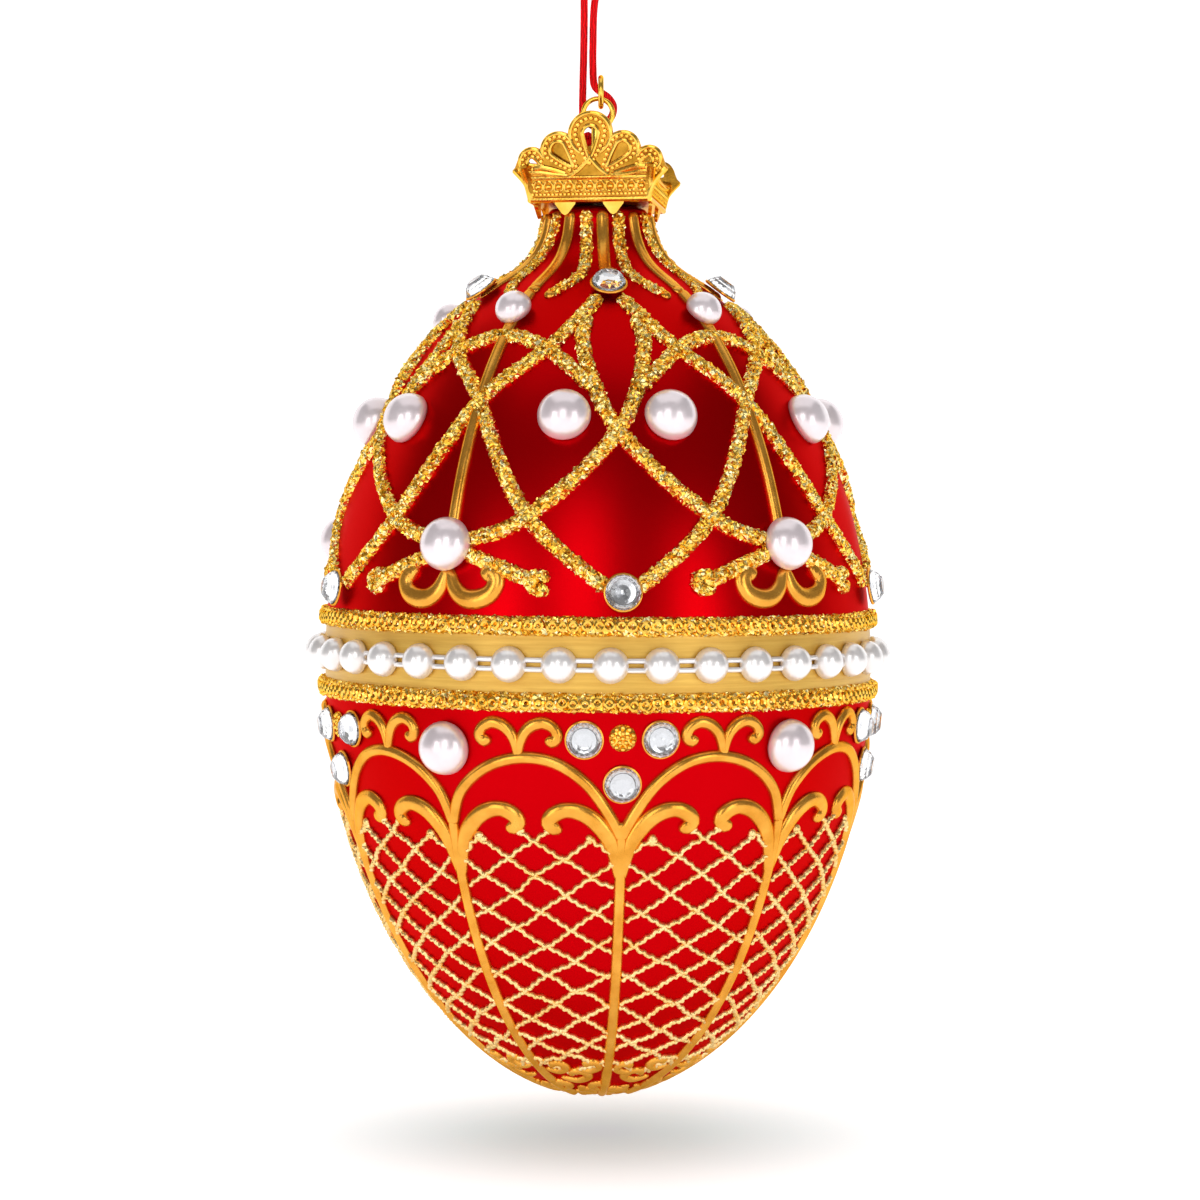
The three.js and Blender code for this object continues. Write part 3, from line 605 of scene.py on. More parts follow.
def twinScroll(heap, route, angle, z, width, s):
    for side in (-1, 1):
        spots = [nearby(angle, z, side * across, up) for across, up in route]
        laidLine(heap, spots, width, s["lineHeight"], s["scrollStep"], s["lineSides"], swell=scrollSwell)


def neckLines(glitter, plain, s):
    for index in range(s["neckLines"]):
        turn = index * 360 / s["neckLines"]
        way = 1 if turn % unitAngle < halfUnit else -1
        if index % 2:
            route = [(pattern["turn"] + turn + way * swing, z) for swing, z in s["glitterNeck"]]
            glitterLine(glitter, route, s, width=s["neckWidth"], height=s["neckHeight"])
            goldBlob(plain, *route[-1], *s["glitterDrop"])
        else:
            route = [(pattern["turn"] + turn, z) for z in s["plainNeck"]]
            laidLine(plain, route, s["lineWidth"], s["neckHeight"], s["lineStep"], s["lineSides"])
            goldBlob(plain, *route[-1], *s["plainDrop"])


def upperGold(s):
    names = ["upper_gilding"]
    for number, centre in enumerate(unitCentres, 1):
        heap = unitTracery(centre, s)
        heap.make(f"glitterTracery{number}", [goldGlitter], "gold_glitter", names, smooth=False)
    glitterNeck, plain = Heap(), Heap()
    neckLines(glitterNeck, plain, s)
    for centre in unitCentres:
        between = centre + halfUnit
        laidLine(plain, [(between, z) for z in s["spine"]], s["lineWidth"], s["lineHeight"], s["lineStep"],
                 s["lineSides"])
        twinScroll(plain, s["scroll"], between, pattern["anchorPearl"], s["scrollWidth"], s)
    glitterNeck.make("neckGlitterLines", [goldGlitter], "gold_glitter", names, smooth=False)
    plain.make("upperGoldLines", [goldPaint], "gold_paint", names)


upperGold(tracery)
print("upper gold laid")

# Waist: two glitter lines and the flat backed pearl chain between them
waist = {"tilt": 0.45, "lines": {"upper": 57.3, "lower": 49.0}, "lineWidth": 2.15, "lineHeight": 0.7,
         "lineStep": 0.24, "lineSides": 12, "lineGrain": 0.08, "ringGap": 1.25, "ringRadius": 0.46,
         "ringWire": 0.22, "chainZ": 53.1, "pearls": 37, "pearlDiameter": 4.0, "pearlHeight": 2.35,
         "pearlEdge": 0.35, "threadRadius": 0.3, "threadApart": 0.52}


def waistTilted(points, s):
    turn = math.radians(s["tilt"])
    points = np.array(points, dtype=float)
    x, z = points[:, 0].copy(), points[:, 2] - s["chainZ"]
    points[:, 0] = x * math.cos(turn) + z * math.sin(turn)
    points[:, 2] = s["chainZ"] - x * math.sin(turn) + z * math.cos(turn)
    return points


def waistRings(heap, z, s):
    # Small rings and grains of gold pressed into a glitter line
    turns = fullTurn(12)
    count = int(2 * math.pi * glass["radius"] / s["ringGap"])
    for index in range(count):
        angle = (index + rng.uniform(-0.15, 0.15)) * 360 / count
        radius = s["ringRadius"] * rng.uniform(0.8, 1.1)
        ring = np.column_stack([np.cos(turns) * radius, np.sin(turns) * radius, np.zeros(len(turns))])
        points, faces = tube(ring, s["ringWire"], 5, closed=True)
        heap.add(seated(points, angle, z + rng.uniform(-0.15, 0.15), s["lineHeight"] + 0.05), faces, 1)
        for side in (-1, 1):
            points, faces = ball((0, 0, 0), rng.uniform(0.2, 0.32), 6, 5)
            place = angle + rng.uniform(-0.9, 0.9)
            up = side * rng.uniform(0.6, 0.85)
            heap.add(seated(points, place, z + up, s["lineHeight"] * 0.8), faces, 1)


def waistGold(s):
    for word, z in s["lines"].items():
        heap = Heap()
        laidLine(heap, [(angle, z) for angle in np.linspace(0, 360, 25)], s["lineWidth"], s["lineHeight"],
                 s["lineStep"], s["lineSides"], taper=(1, 1), grain=s["lineGrain"])
        waistRings(heap, z, s)
        heap.points = [waistTilted(points, s) for points in heap.points]
        heap.make(f"{word}WaistLine", [goldGlitter, crownGold], "gold_glitter", [f"waist_line_{word}"],
                  smooth=False)


def chainOfPearls(s):
    heap = Heap()
    rise = np.linspace(0, np.pi / 2, 10)
    radius, edge = s["pearlDiameter"] / 2, s["pearlEdge"]
    dome = [(0, 0), (radius * 0.93, 0)]
    dome += [(math.cos(a) * radius, edge + math.sin(a) * (s["pearlHeight"] - edge)) for a in rise]
    points, faces = lathe(dome, 24)
    for index in range(s["pearls"]):
        angle = pattern["turn"] / 2 + index * 360 / s["pearls"]
        heap.add(waistTilted(seated(points, angle, s["chainZ"], 0.05), s), faces)
    turn = fullTurn(260)
    for up in (-s["threadApart"], s["threadApart"]):
        z = s["chainZ"] + up
        out = float(glassRadius(z)) + s["threadRadius"] + 0.05
        ring = np.stack([np.sin(turn) * out, -np.cos(turn) * out, np.full(len(turn), z)], axis=1)
        thread, threadFaces = tube(ring, s["threadRadius"], 8, closed=True)
        heap.add(waistTilted(thread, s), threadFaces)
    heap.make("pearlChain", [whitePearlCoat], "pearl", ["pearl_chain"])


waistGold(waist)
chainOfPearls(waist)
print("waist dressed")

# Raised gold on the lower half; an arch's route is angles from its panel's middle and heights
lower = {"panels": 10, "ribWidth": 1.3, "ribStep": 0.4, "archWidth": 1.4, "archStep": 0.35,
         "lineHeight": 0.68, "lineSides": 12, "scrollStep": 0.25,
         "rib": [35.9, 28, 22, 14, 8, 4.4, 2.2, 0.9],
         "arch": [(18, 34.1), (15.2, 37), (10.7, 40.3), (4.6, 42.5), (-2.5, 42.95), (-9.7, 41.7),
                  (-15.4, 38.95), (-18, 35.4)], "apex": 4,
         "fleur": [(0.1, 0), (0.3, 1.6), (0.8, 2.8), (1.7, 3.6), (2.9, 3.9), (4, 3.4), (4.45, 2.5),
                   (3.9, 1.8), (3.3, 2.3)], "fleurWidth": 1.4,
         "volute": [(0.1, -5.2), (0.45, -3), (1, -1), (2, 0.75), (3.4, 2.15), (4.95, 2.9), (6.4, 2.95),
                    (7.6, 2.3), (7.9, 1.5), (7.3, 1), (6.7, 1.3)], "voluteZ": 34.3, "voluteWidth": 1.95,
         "rosette": [(-1.5, -0.7), (0.1, -1.25), (1.4, -0.3), (1.0, 0.9), (-0.1, 0.8), (-0.1, 0.1)],
         "rosetteWidth": 1.105, "rosetteHeight": 0.612,
         "tipScrolls": [(0.0, 2.6, 1.0), (0.5, 4.4, 1.15), (0.27, 5.6, 0.9), (0.73, 5.9, 0.9),
                        (0.5, 1.7, 0.8)],
         "tipDrops": [(0.3, 0.85), (0.75, 1.2), (0.5, 2.1)], "dropRadius": 0.7, "dropHeight": 0.5}
panelAngle = 360 / lower["panels"]


def panelGold(index, heap, s):
    ribAngle = pattern["turn"] + index * panelAngle
    middle = ribAngle + panelAngle / 2
    way = -1 if index % 2 == 0 else 1
    rib = [(ribAngle, z) for z in s["rib"]]
    laidLine(heap, rib, s["ribWidth"], s["lineHeight"], s["ribStep"], s["lineSides"])
    arch = [(middle + way * angle, z) for angle, z in s["arch"]]
    laidLine(heap, arch, s["archWidth"], s["lineHeight"], s["archStep"], s["lineSides"], taper=(0.9, 0.9))
    apexAngle, apexZ = arch[s["apex"]]
    twinScroll(heap, s["fleur"], apexAngle, apexZ, s["fleurWidth"], s)
    twinScroll(heap, s["volute"], ribAngle, s["voluteZ"], s["voluteWidth"], s)
    for turn, z, size in s["tipScrolls"]:
        scroll = [nearby(ribAngle + turn * panelAngle, z, way * size * across, size * up)
                  for across, up in s["rosette"]]
        laidLine(heap, scroll, s["rosetteWidth"], s["rosetteHeight"], s["scrollStep"], s["lineSides"],
                 swell=scrollSwell)
    for turn, z in s["tipDrops"]:
        radius = s["dropRadius"] * rng.uniform(0.8, 1.2)
        goldBlob(heap, ribAngle + turn * panelAngle, z, radius, s["dropHeight"])


# Nets of fine lines between the ribs, drawn with a beaded pulse of the pen
net = {"pitch": 4.35, "slope": 35.0, "width": 0.62, "height": 0.48, "step": 0.16, "sides": 7, "sink": 0.06,
       "top": 35.4, "topFall": 3.2, "bottom": 4.6, "margin": 0.04, "reach": 24.0, "wander": 0.16,
       "drop": 0.55, "dropZone": 2.5, "sway": 0.09, "swayLength": 1.15, "thin": 0.75, "swell": 0.45,
       "beadLength": 0.62}


def penPulse(marks):
    sway = net["sway"] * np.sin(marks * 2 * np.pi / net["swayLength"])
    return sway, net["thin"] + net["swell"] * np.abs(np.sin(marks * np.pi / net["beadLength"]))


def netLines(index, s):
    heap = Heap()
    start = pattern["turn"] + index * panelAngle
    # On the unrolled panel u is the share of the way across, and v runs up the slope in millimetres
    z = np.linspace(0.3, 40, 400)
    slopeRun = np.concatenate([[0], np.cumsum(np.hypot(np.diff(z), np.diff(glassRadius(z))))])
    u = np.linspace(s["margin"], 1 - s["margin"], 40)
    edge = np.abs(u - 0.5) * 2
    top = s["top"] - s["topFall"] * edge ** 2
    rise = math.tan(math.radians(s["slope"]))
    for way in (-1, 1):
        level = -s["reach"]
        while level < slopeRun[-1] + s["reach"]:
            v = np.full(len(u), level)
            # The panel's width and the line's height depend on each other, so a few rounds settle both
            for _ in range(6):
                wide = np.radians(panelAngle) * glassRadius(np.interp(v, slopeRun, z))
                v = level + way * (u - 0.5) * wide * rise
            height = np.interp(v, slopeRun, z)
            keep = (v > 1) & (height < top) & (height > s["bottom"])
            if keep.sum() > 6:
                route = np.stack([start + u[keep] * panelAngle, height[keep]], axis=1)
                sparse = route[np.linspace(0, len(route) - 1, 8).astype(int)]
                sparse[:, 1] += rng.normal(0, s["wander"], len(sparse))
                laidLine(heap, sparse, s["width"], s["height"], s["step"], s["sides"], taper=(0.9, 0.9),
                         roll=penPulse, sink=s["sink"])
                highest = sparse[np.argmax(sparse[:, 1])]
                if highest[1] > top.min() - s["dropZone"]:
                    goldBlob(heap, *highest, s["drop"] * rng.uniform(0.8, 1.2), s["height"])
            level += s["pitch"]
    return heap


def lowerGold(s):
    heap = Heap()
    for index in range(s["panels"]):
        panelGold(index, heap, s)
        netLines(index, net).make(f"goldNet{index + 1}", [paleGoldPaint], "gold_paint")
    heap.make("lowerGoldLines", [goldPaint], "gold_paint", ["lower_gilding"])


lowerGold(lower)
print("lower gold laid")

# Half pearls and crystals; a row of facets is a share of the stone's radius, a height and a turn in steps
jewels = {"pearl": 6.0, "smallPearl": 4.3, "fullness": 0.5, "pearlEdge": 0.25, "pearlFoot": 0.2,
          "pearlSides": 48, "onGold": 0.75, "pearlOnGlass": 0.1, "stone": 4.0, "stoneOnGlass": 0.05,
          "facets": 16,
          "cut": [(1.0, 0.2, 0), (0.97, 0.45, 0), (0.8, 1.054, 0.5), (0.5, 1.55, 0)], "cutFoot": 0.1,
          "foil": [(0.5, 0.06, 0), (0.8, 0.32, 0.5), (0.98, 0.14, 0)], "rimZ": 0.12, "rimWire": 0.17,
          "chaton": 3.0, "chatonBead": 0.3, "chatonRings": [(10, 0.8), (5, 0.36), (1, 0.0)]}


def pearlPiece(name, node, diameter, angle, z, offset, s):
    radius = diameter / 2
    edge, foot = s["pearlEdge"], -s["pearlFoot"]
    dome = [(0, foot), (radius * 0.94, foot)]
    dome += [(math.cos(a) * radius, edge + math.sin(a) * (diameter * s["fullness"] - edge))
             for a in np.linspace(0, np.pi / 2, 20)]
    points, faces = lathe(dome, s["pearlSides"])
    makePiece(name, seated(points, angle, z, offset), faces, [pearlCoat], [node])


def facetRow(count, radius, height, shift=0.0):
    turns = fullTurn(count) + shift * 2 * np.pi / count
    return np.column_stack([np.sin(turns) * radius, -np.cos(turns) * radius, np.full(count, height)])


def fan(first, count, tip):
    return [(first + c, first + (c + 1) % count, tip) for c in range(count)]


def stonePiece(name, node, angle, z, offset, s):
    heap = Heap()
    radius, count = s["stone"] / 2, s["facets"]
    # Cut dome: girdle, upper break and table
    rows = [facetRow(count, radius * share, height, shift) for share, height, shift in s["cut"]]
    tableZ = s["cut"][-1][1]
    quads = gridFaces(len(rows), count)
    faces = quads[:count]
    for a, b, c, d in quads[count:2 * count]:
        faces += [(a, b, d), (b, c, d)]
    for a, b, c, d in quads[2 * count:]:
        faces += [(a, c, d), (a, b, c)]
    faces += fan(3 * count, count, 4 * count)
    faces += [(b, a, foot) for a, b, foot in fan(0, count, 4 * count + 1)]
    heap.add(np.concatenate(rows + [[[0, 0, tableZ], [0, 0, s["cutFoot"]]]]), faces)
    # Foiled back, cut into shallow facets
    back = [facetRow(count, radius * share, height, shift) for share, height, shift in s["foil"]]
    backFaces = [(0, b, c) for b, c, _ in fan(1, count, 0)]
    backFaces += [(a + 1, d + 1, c + 1, b + 1) for a, b, c, d in gridFaces(len(back), count)]
    heap.add(np.concatenate([[[0, 0, s["foil"][-1][1]]]] + back), backFaces, 1)
    # Gold rim that holds it
    heap.add(*tube(facetRow(40, radius, s["rimZ"]), s["rimWire"], 8, closed=True), 2)
    heap.points = [seated(points, angle, z, offset) for points in heap.points]
    heap.make(name, [clearCrystal, silverFoil, goldPaint], "crystal", [node], smooth=False)


def chatonPiece(name, angle, z, s):
    # Rings of gold beads on a low disc
    heap = Heap()
    radius = s["chaton"] / 2
    for count, share in s["chatonRings"]:
        for turn in fullTurn(count):
            reach = radius * share
            heap.add(*ball((reach * math.sin(turn), reach * math.cos(turn), 0.25), s["chatonBead"]))
    heap.add(*lathe([(0, -0.1), (radius, -0.1), (radius, 0.2), (0, 0.25)], 24))
    heap.points = [seated(points, angle, z, 0) for points in heap.points]
    heap.make(name, [crownGold], "crown_metal")


def setJewels(s):
    onGold, onGlass = s["onGold"], s["stoneOnGlass"]
    for number, centre in enumerate(unitCentres, 1):
        between = centre + halfUnit
        for word, diameter, offset in (("small", s["smallPearl"], onGold), ("anchor", s["pearl"], onGold),
                                       ("lower", s["pearl"], s["pearlOnGlass"])):
            pearlPiece(f"{word}Pearl{number}", f"{word}_pearl_{number}", diameter, between,
                       pattern[f"{word}Pearl"], offset, s)
        for side, word in ((-1, "left"), (1, "right")):
            pearlPiece(f"pairPearl{word.title()}{number}", f"pair_pearl_{word}_{number}", s["pearl"],
                       centre + side * pattern["pairAngle"], pattern["pairPearl"], s["pearlOnGlass"], s)
            stonePiece(f"trioStone{word.title()}{number}", f"trio_stone_{word}_{number}",
                       centre + side * pattern["trioAngle"], pattern["trio"][0], onGlass, s)
        for name, node, z, offset in (("trioStoneLow", "trio_stone_low", pattern["trio"][1], onGlass),
                                      ("topStone", "top_stone", pattern["topStone"], onGold),
                                      ("tipStone", "tip_stone", pattern["tipStone"], onGold)):
            stonePiece(f"{name}{number}", f"{node}_{number}", centre, z, offset, s)
        chatonPiece(f"goldChaton{number}", centre, pattern["chaton"], s)


setJewels(jewels)
print("jewels set")

# Crown cap. A lobe is its middle, its radius, its opening's size, how far that leans and how deep it points,
# and a leaf is the points of its wire, all across and up one side of the crown
crown = {"turn": -8.3, "sway": 0.045, "base": 106.0, "halfSide": 7.0, "flare": 12.0, "wall": 0.7,
         "cornerRise": 4.0, "cornerReach": 2.2, "lowRise": 3.0,
         "lobes": {"centre": (0, 7.8, 2.6, 0.98, 0, 2.7), "middle": (3.8, 6.05, 2.05, 0.95, -41, 2.7),
                   "outer": (6.9, 4.75, 1.6, 0.5, -66, 1.2)},
         "leaves": [[(2.6, 3.0), (4.2, 3.15), (6.0, 3.4), (7.5, 3.4)],
                    [(2.9, 3.25), (4.4, 3.75), (5.6, 4.0), (6.5, 3.95)],
                    [(0.0, 5.1), (0.6, 4.4), (1.3, 3.7), (2.2, 3.05)]],
         "rim": 0.25, "edgeWire": 0.36, "bead": 0.27, "beadGap": 0.55, "centreRing": 1.78,
         "beadRings": {"middle": 1.5, "outer": 1.02}, "rails": [(0.2, 0.34), (2.75, 0.24)], "fineBead": 0.22,
         "fineGap": 0.46, "fineUp": 0.82, "studs": 11, "studUp": 1.75, "stud": 0.4, "studRing": (0.54, 0.62),
         "studWire": 0.14, "plate": 1.0, "tab": (2.85, 1.3, 1.6), "tabWall": 0.45, "shank": 0.8,
         "eyeRadius": 1.75, "eyeWire": 0.6, "eyeZ": 117.3, "ringRadius": 1.7, "ringWire": 0.66,
         "ringGap": 0.3, "ringX": 0.35}


def onCrownSide(points, side, s):
    # Points across, up and out of one side of the crown, leaned out and turned to its place
    points = np.asarray(points, dtype=float).reshape(-1, 3)
    lean = math.radians(s["flare"])
    across, up, out = points[:, 0] + points[:, 1] * s["sway"], points[:, 1], points[:, 2] - s["wall"] / 2
    y = -s["halfSide"] - out * math.cos(lean) - up * math.sin(lean)
    z = s["base"] + 0.1 + up * math.cos(lean) - out * math.sin(lean)
    turn = math.radians(s["turn"] + side * 90)
    x, y = across * math.cos(turn) - y * math.sin(turn), across * math.sin(turn) + y * math.cos(turn)
    return np.stack([x, y, z], axis=1)


def lobeRim(lobe, way, start, end, inset=0.0, count=24):
    across, up, radius = lobe[:3]
    reach = radius - inset
    return [(way * (across + reach * math.cos(turn)), up + reach * math.sin(turn))
            for turn in np.radians(np.linspace(start, end, count))]


def lobeDrop(lobe, way, size, deeper=1.0):
    # A drop round the lobe's middle, leaned with it and narrowed to a point below
    across, up, _, _, lean, point = lobe
    lean = math.radians(way * lean)
    shape = []
    for turn in fullTurn(28) - np.pi / 2:
        x, y = math.cos(turn) * size, math.sin(turn) * size
        if y < 0:
            x *= 1 + y / size * 0.55
            y *= point * deeper / size
        shape.append((way * across + x * math.cos(lean) - y * math.sin(lean),
                      up + x * math.sin(lean) + y * math.cos(lean)))
    return shape


def openings(s):
    lobes = s["lobes"]
    sides = [lobeDrop(lobes[name], way, lobes[name][3]) for way in (-1, 1) for name in ("middle", "outer")]
    return [lobeDrop(lobes["centre"], 1, lobes["centre"][3])] + sides


def crownOutline(tall, s):
    half, reach, rise = s["halfSide"], s["cornerReach"], s["cornerRise"]
    right = [(half, 0), (half + reach * 0.4, rise * 0.55), (half + reach, rise - 0.35),
             (half + reach * 0.85, rise)]
    middle = []
    if tall:
        for name, start, end, count in (("outer", 20, 125, 10), ("middle", 20, 135, 12),
                                        ("centre", -5, 88, 12)):
            right += lobeRim(s["lobes"][name], 1, start, end, count=count)
    else:
        # A low side dips between its corners
        middle = [(0, s["lowRise"])]
        right += [(x * half, rise + (s["lowRise"] - rise) * math.cos(x * math.pi / 2) ** 0.6)
                  for x in (0.92, 0.75, 0.5, 0.25)]
    return right + middle + [(-x, y) for x, y in reversed(right)]


def filledPlate(outline, holes, thickness):
    # A flat plate with holes, cut by Blender's own curve fill
    data = bpy.data.curves.new("plate", "CURVE")
    data.dimensions = "2D"
    data.fill_mode = "BOTH"
    data.extrude = thickness / 2
    for loop in [outline] + holes:
        spline = data.splines.new("POLY")
        spline.points.add(len(loop) - 1)
        for point, (x, y) in zip(spline.points, loop):
            point.co = (x, y, 0, 1)
        spline.use_cyclic_u = True
    holder = bpy.data.objects.new("plate", data)
    mesh = bpy.data.meshes.new_from_object(holder)
    points = np.array([list(v.co) for v in mesh.vertices])
    faces = [tuple(p.vertices) for p in mesh.polygons]
    bpy.data.objects.remove(holder)
    bpy.data.meshes.remove(mesh)
    return points, faces


def beadRow(heap, line, gap, radius, place, out):
    line = np.asarray(line, dtype=float)
    run = np.concatenate([[0], np.cumsum(np.linalg.norm(np.diff(line, axis=0), axis=1))])
    for mark in np.linspace(0, run[-1], max(2, int(run[-1] / gap))):
        spot = (np.interp(mark, run, line[:, 0]), np.interp(mark, run, line[:, 1]), out)
        points, faces = ball(spot, radius, 7, 5)
        heap.add(place(points), faces)


def crownWire(heap, place, line, radius, out, closed=False):
    line = np.asarray(line, dtype=float)
    points, faces = tube(np.column_stack([line, np.full(len(line), out)]), radius, 8, closed)
    heap.add(place(points), faces)


def crownBand(heap, place, s):
    wide, front = s["halfSide"] - 0.1, s["wall"] / 2
    for up, radius in s["rails"]:
        crownWire(heap, place, [(-wide, up), (0, up), (wide, up)], radius, front)
    ends = [(-wide + 0.2, s["fineUp"]), (wide - 0.2, s["fineUp"])]
    beadRow(heap, ends, s["fineGap"], s["fineBead"], place, front + 0.05)
    turns = fullTurn(14)
    across, up = s["studRing"]
    for x in np.linspace(-wide + 0.8, wide - 0.8, s["studs"]):
        ring = np.column_stack([x + across * np.cos(turns), s["studUp"] + up * np.sin(turns)])
        crownWire(heap, place, ring, s["studWire"], front, closed=True)
        points, faces = ball((x, s["studUp"], front), s["stud"], 9, 7)
        heap.add(place(points), faces)
    # Pointed tabs that grip the neck
    middle, half, drop = s["tab"]
    right = [(half, 0.1), (half * 0.9, -drop * 0.2), (half * 0.3, -drop * 0.85)]
    outline = [(-x, y) for x, y in right] + [(0, -drop)] + right[::-1]
    for way in (-1, 1):
        points, faces = filledPlate([(way * middle + x, y) for x, y in outline], [], s["tabWall"])
        points[:, 2] += 0.25
        heap.add(place(points), faces)


def crownCorners(heap, place, s):
    # Bevelled edges from the band out to the corners' tips
    front = s["wall"] / 2
    edge = [(s["halfSide"] + x * s["cornerReach"], y * s["cornerRise"])
            for x, y in ((0, 0), (0.3, 0.5), (0.97, 0.93))]
    edge = curveThrough(edge, np.linspace(0, 1, 10))
    for way in (-1, 1):
        crownWire(heap, place, [(way * (x - 0.2), y) for x, y in edge], s["edgeWire"], front - 0.1)
        beadRow(heap, [(way * (x - 0.85), y) for x, y in edge[3:]], s["beadGap"], s["bead"], place, front)


def crownFan(heap, place, holes, s):
    lobes, front = s["lobes"], s["wall"] / 2
    # Middle openings have a floor in the darker gold, painted shade, so they read as wells
    for hole in (holes[1], holes[3]):
        points, faces = filledPlate(hole, [], 0.2)
        points[:, 2] -= front - 0.1
        heap.add(place(points), faces, 1)
    for hole in holes:
        crownWire(heap, place, hole, s["rim"], front + 0.02, closed=True)
    for way in (-1, 1):
        for name, start, end in (("centre", -62, 90), ("middle", -30, 150), ("outer", -50, 160)):
            crownWire(heap, place, lobeRim(lobes[name], way, start, end, 0.2), s["rim"], front)
        for name, ring in s["beadRings"].items():
            beads = lobeDrop(lobes[name], way, ring, 1.25)
            beadRow(heap, beads, s["beadGap"], s["bead"], place, front + 0.05)
        for leaf in s["leaves"]:
            line = [(way * x, y) for x, y in curveThrough(leaf, np.linspace(0, 1, 14))]
            crownWire(heap, place, line, s["rim"] * 1.15, front + 0.08)
    beads = lobeDrop(lobes["centre"], 1, s["centreRing"], 1.25)
    beadRow(heap, beads, s["beadGap"], s["bead"] * 1.1, place, front + 0.05)


def crownSide(heap, side, s):
    def place(points):
        return onCrownSide(points, side, s)
    # The front and back are tall fans, the other two sides are low
    tall, front = side % 2 == 0, s["wall"] / 2
    outline = crownOutline(tall, s)
    holes = openings(s) if tall else []
    # The plate itself is in the darker gold, painted shade behind the raised work
    points, faces = filledPlate(outline, holes, s["wall"])
    heap.add(place(points), faces, 1)
    crownBand(heap, place, s)
    crownCorners(heap, place, s)
    if tall:
        crownFan(heap, place, holes, s)
    else:
        rim = outline[3:-3]
        crownWire(heap, place, [(x, y - 0.2) for x, y in rim], s["rim"], front)
        beadRow(heap, [(x, y - 0.75) for x, y in rim[1:-1]], s["beadGap"], s["bead"], place, front)


def crownCap(s):
    heap = Heap()
    for side in range(4):
        crownSide(heap, side, s)
    # Square floor of the crown, on the neck's rim, in the darker gold as painted shade
    half, top = s["halfSide"] - 0.2, s["base"] + s["plate"]
    turn = math.radians(s["turn"])
    square = [(x * math.cos(turn) - y * math.sin(turn), x * math.sin(turn) + y * math.cos(turn))
              for x, y in ((-half, -half), (half, -half), (half, half), (-half, half))]
    corners = [(x, y, z) for z in (s["base"], top) for x, y in square]
    heap.add(corners, [(3, 2, 1, 0), (4, 5, 6, 7), (0, 1, 5, 4), (1, 2, 6, 5), (2, 3, 7, 6), (3, 0, 4, 7)], 1)
    # Shank and eye that the ring hangs in
    shank, shankTop = s["shank"], s["eyeZ"] - s["eyeRadius"]
    heap.add(*lathe([(0, top - 0.1), (shank * 1.5, top - 0.1), (shank, top + 1.2), (shank, shankTop),
                     (0, shankTop)], 20))
    turns = fullTurn(48)
    eye = np.column_stack([s["eyeRadius"] * np.cos(turns), np.zeros(len(turns)),
                           s["eyeZ"] + s["eyeRadius"] * np.sin(turns)])
    heap.add(*tube(eye, s["eyeWire"] / 2, 14, closed=True))
    piece = heap.make("crownCap", [crownGold, crownPaintedShade], "crown_metal", ["crown_cap"])
    sharpen(piece, 40)


def jumpRing(s):
    # Hangs clear of the eye by the gap that the solids keep
    wireTop = s["eyeZ"] + s["eyeRadius"] - s["eyeWire"] / 2 - s["ringGap"]
    z = wireTop - s["ringWire"] / 2 + s["ringRadius"]
    turns = fullTurn(56)
    ring = np.column_stack([np.full(len(turns), s["ringX"]), s["ringRadius"] * np.cos(turns),
                            z + s["ringRadius"] * np.sin(turns)])
    points, faces = tube(ring, s["ringWire"] / 2, 14, closed=True)
    makePiece("jumpRing", points, faces, [crownGold], ["jump_ring"])


crownCap(crown)
jumpRing(crown)
print("crown made")

# Floor and light; a box is its name, place, size and watts
# Under the egg the floor glows less and its colour is darker and bluer: a painted shadow pool
studio = {"floorDrop": 5.0, "halfWidth": 5.0, "front": -5.0, "bendStart": 1.2, "bendRadius": 0.6,
          "backHeight": 2.4, "glow": (0.36, 0.66), "paintedShadowReach": (0.0, 0.05), "paintedShadowShape": (0.85, 1.3, 0),
          "paintedShadowColour": (0.42, 0.6, 0.65), "aroundIt": (0.92, 0.92, 0.92), "ambient": 0.22,
          "boxes": [("leftBox", (-0.42, -0.5, -0.06), (0.2, 0.46), 0.8),
                    ("rightBox", (0.42, -0.5, -0.06), (0.2, 0.46), 0.8),
                    ("topBox", (0.0, 0.1, 0.6), (0.9, 0.9), 1.9),
                    ("frontBox", (-0.13, -1.05, 0.22), (0.4, 0.62), 1.8)], "aim": (0, 0, -0.085)}


def softBox(name, place, size, power, target):
    data = bpy.data.lights.new(name, "AREA")
    data.shape = "RECTANGLE"
    data.size, data.size_y = size
    data.energy = power
    lamp = bpy.data.objects.new(name, data)
    bpy.context.collection.objects.link(lamp)
    lamp.location = place
    lamp.rotation_euler = (Vector(target) - Vector(place)).to_track_quat("-Z", "Y").to_euler()


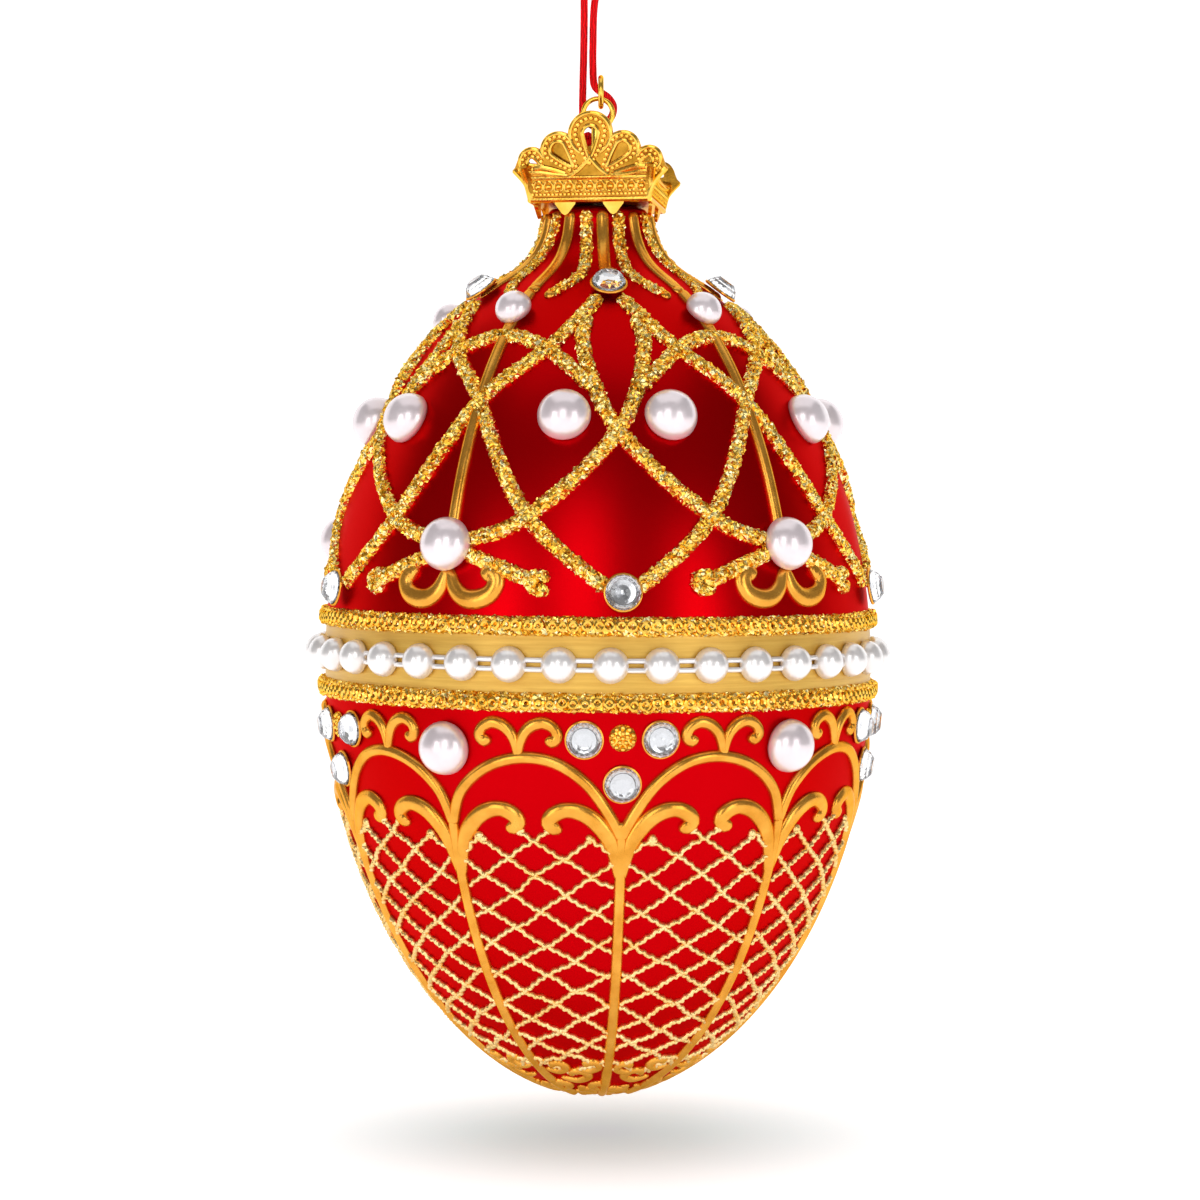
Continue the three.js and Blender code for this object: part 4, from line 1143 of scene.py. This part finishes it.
def sweepWithPaintedShadow(s):
    # The sweep glows less and is darker and bluer under the egg, painting a neutral grey shadow pool there
    mat, tree, shader = newMaterial("paleSweep")
    setPlain(shader, Roughness=0.9, Emission_Color=(1, 1, 1, 1))
    place = tree.nodes.new("ShaderNodeNewGeometry")
    level = tree.nodes.new("ShaderNodeVectorMath")
    level.operation = "MULTIPLY"
    level.inputs[1].default_value = s["paintedShadowShape"]
    away = tree.nodes.new("ShaderNodeVectorMath")
    away.operation = "LENGTH"
    tree.links.new(place.outputs["Position"], level.inputs[0])
    tree.links.new(level.outputs["Vector"], away.inputs[0])
    share = tree.nodes.new("ShaderNodeMapRange")
    share.interpolation_type = "SMOOTHSTEP"
    share.inputs["From Min"].default_value, share.inputs["From Max"].default_value = s["paintedShadowReach"]
    tree.links.new(away.outputs["Value"], share.inputs["Value"])
    # Painted shadow: less glow and a darker, bluer colour near the egg, fading to the plain pale floor
    spreadInto(tree, share.outputs["Result"], shader.inputs["Emission Strength"], *s["glow"])
    ramp = rampFrom(tree, share.outputs["Result"], [(0, s["paintedShadowColour"]), (1, s["aroundIt"])])
    tree.links.new(ramp.outputs["Color"], shader.inputs["Base Color"])
    return mat


def paleSweep(s):
    # Floor and backdrop in one, with a round bend between them
    floorZ = -(hangLength + s["floorDrop"]) * 0.001
    start, bend = s["bendStart"], s["bendRadius"]
    line = [(s["front"], floorZ)]
    line += [(start + bend * math.sin(turn), floorZ + bend * (1 - math.cos(turn)))
             for turn in np.linspace(0, np.pi / 2, 16)]
    line.append((start + bend, floorZ + s["backHeight"]))
    points = [(x, y, z) for y, z in line for x in (-s["halfWidth"], s["halfWidth"])]
    faces = [(2 * i, 2 * i + 1, 2 * i + 3, 2 * i + 2) for i in range(len(line) - 1)]
    mesh = bpy.data.meshes.new("paleSweep")
    mesh.from_pydata(points, [], faces)
    mesh.materials.append(sweepWithPaintedShadow(s))
    mesh.polygons.foreach_set("use_smooth", np.ones(len(mesh.polygons), dtype=bool))
    floor = bpy.data.objects.new("paleSweep", mesh)
    bpy.context.collection.objects.link(floor)


def studioSet(s):
    paleSweep(s)
    world = bpy.data.worlds.new("studio")
    bpy.context.scene.world = world
    world.use_nodes = True
    backdrop = world.node_tree.nodes["Background"]
    backdrop.inputs["Color"].default_value = (1, 1, 1, 1)
    backdrop.inputs["Strength"].default_value = s["ambient"]
    for box in s["boxes"]:
        softBox(*box, s["aim"])
    bpy.context.scene.view_settings.view_transform = "Standard"


studioSet(studio)
print("studio lit")
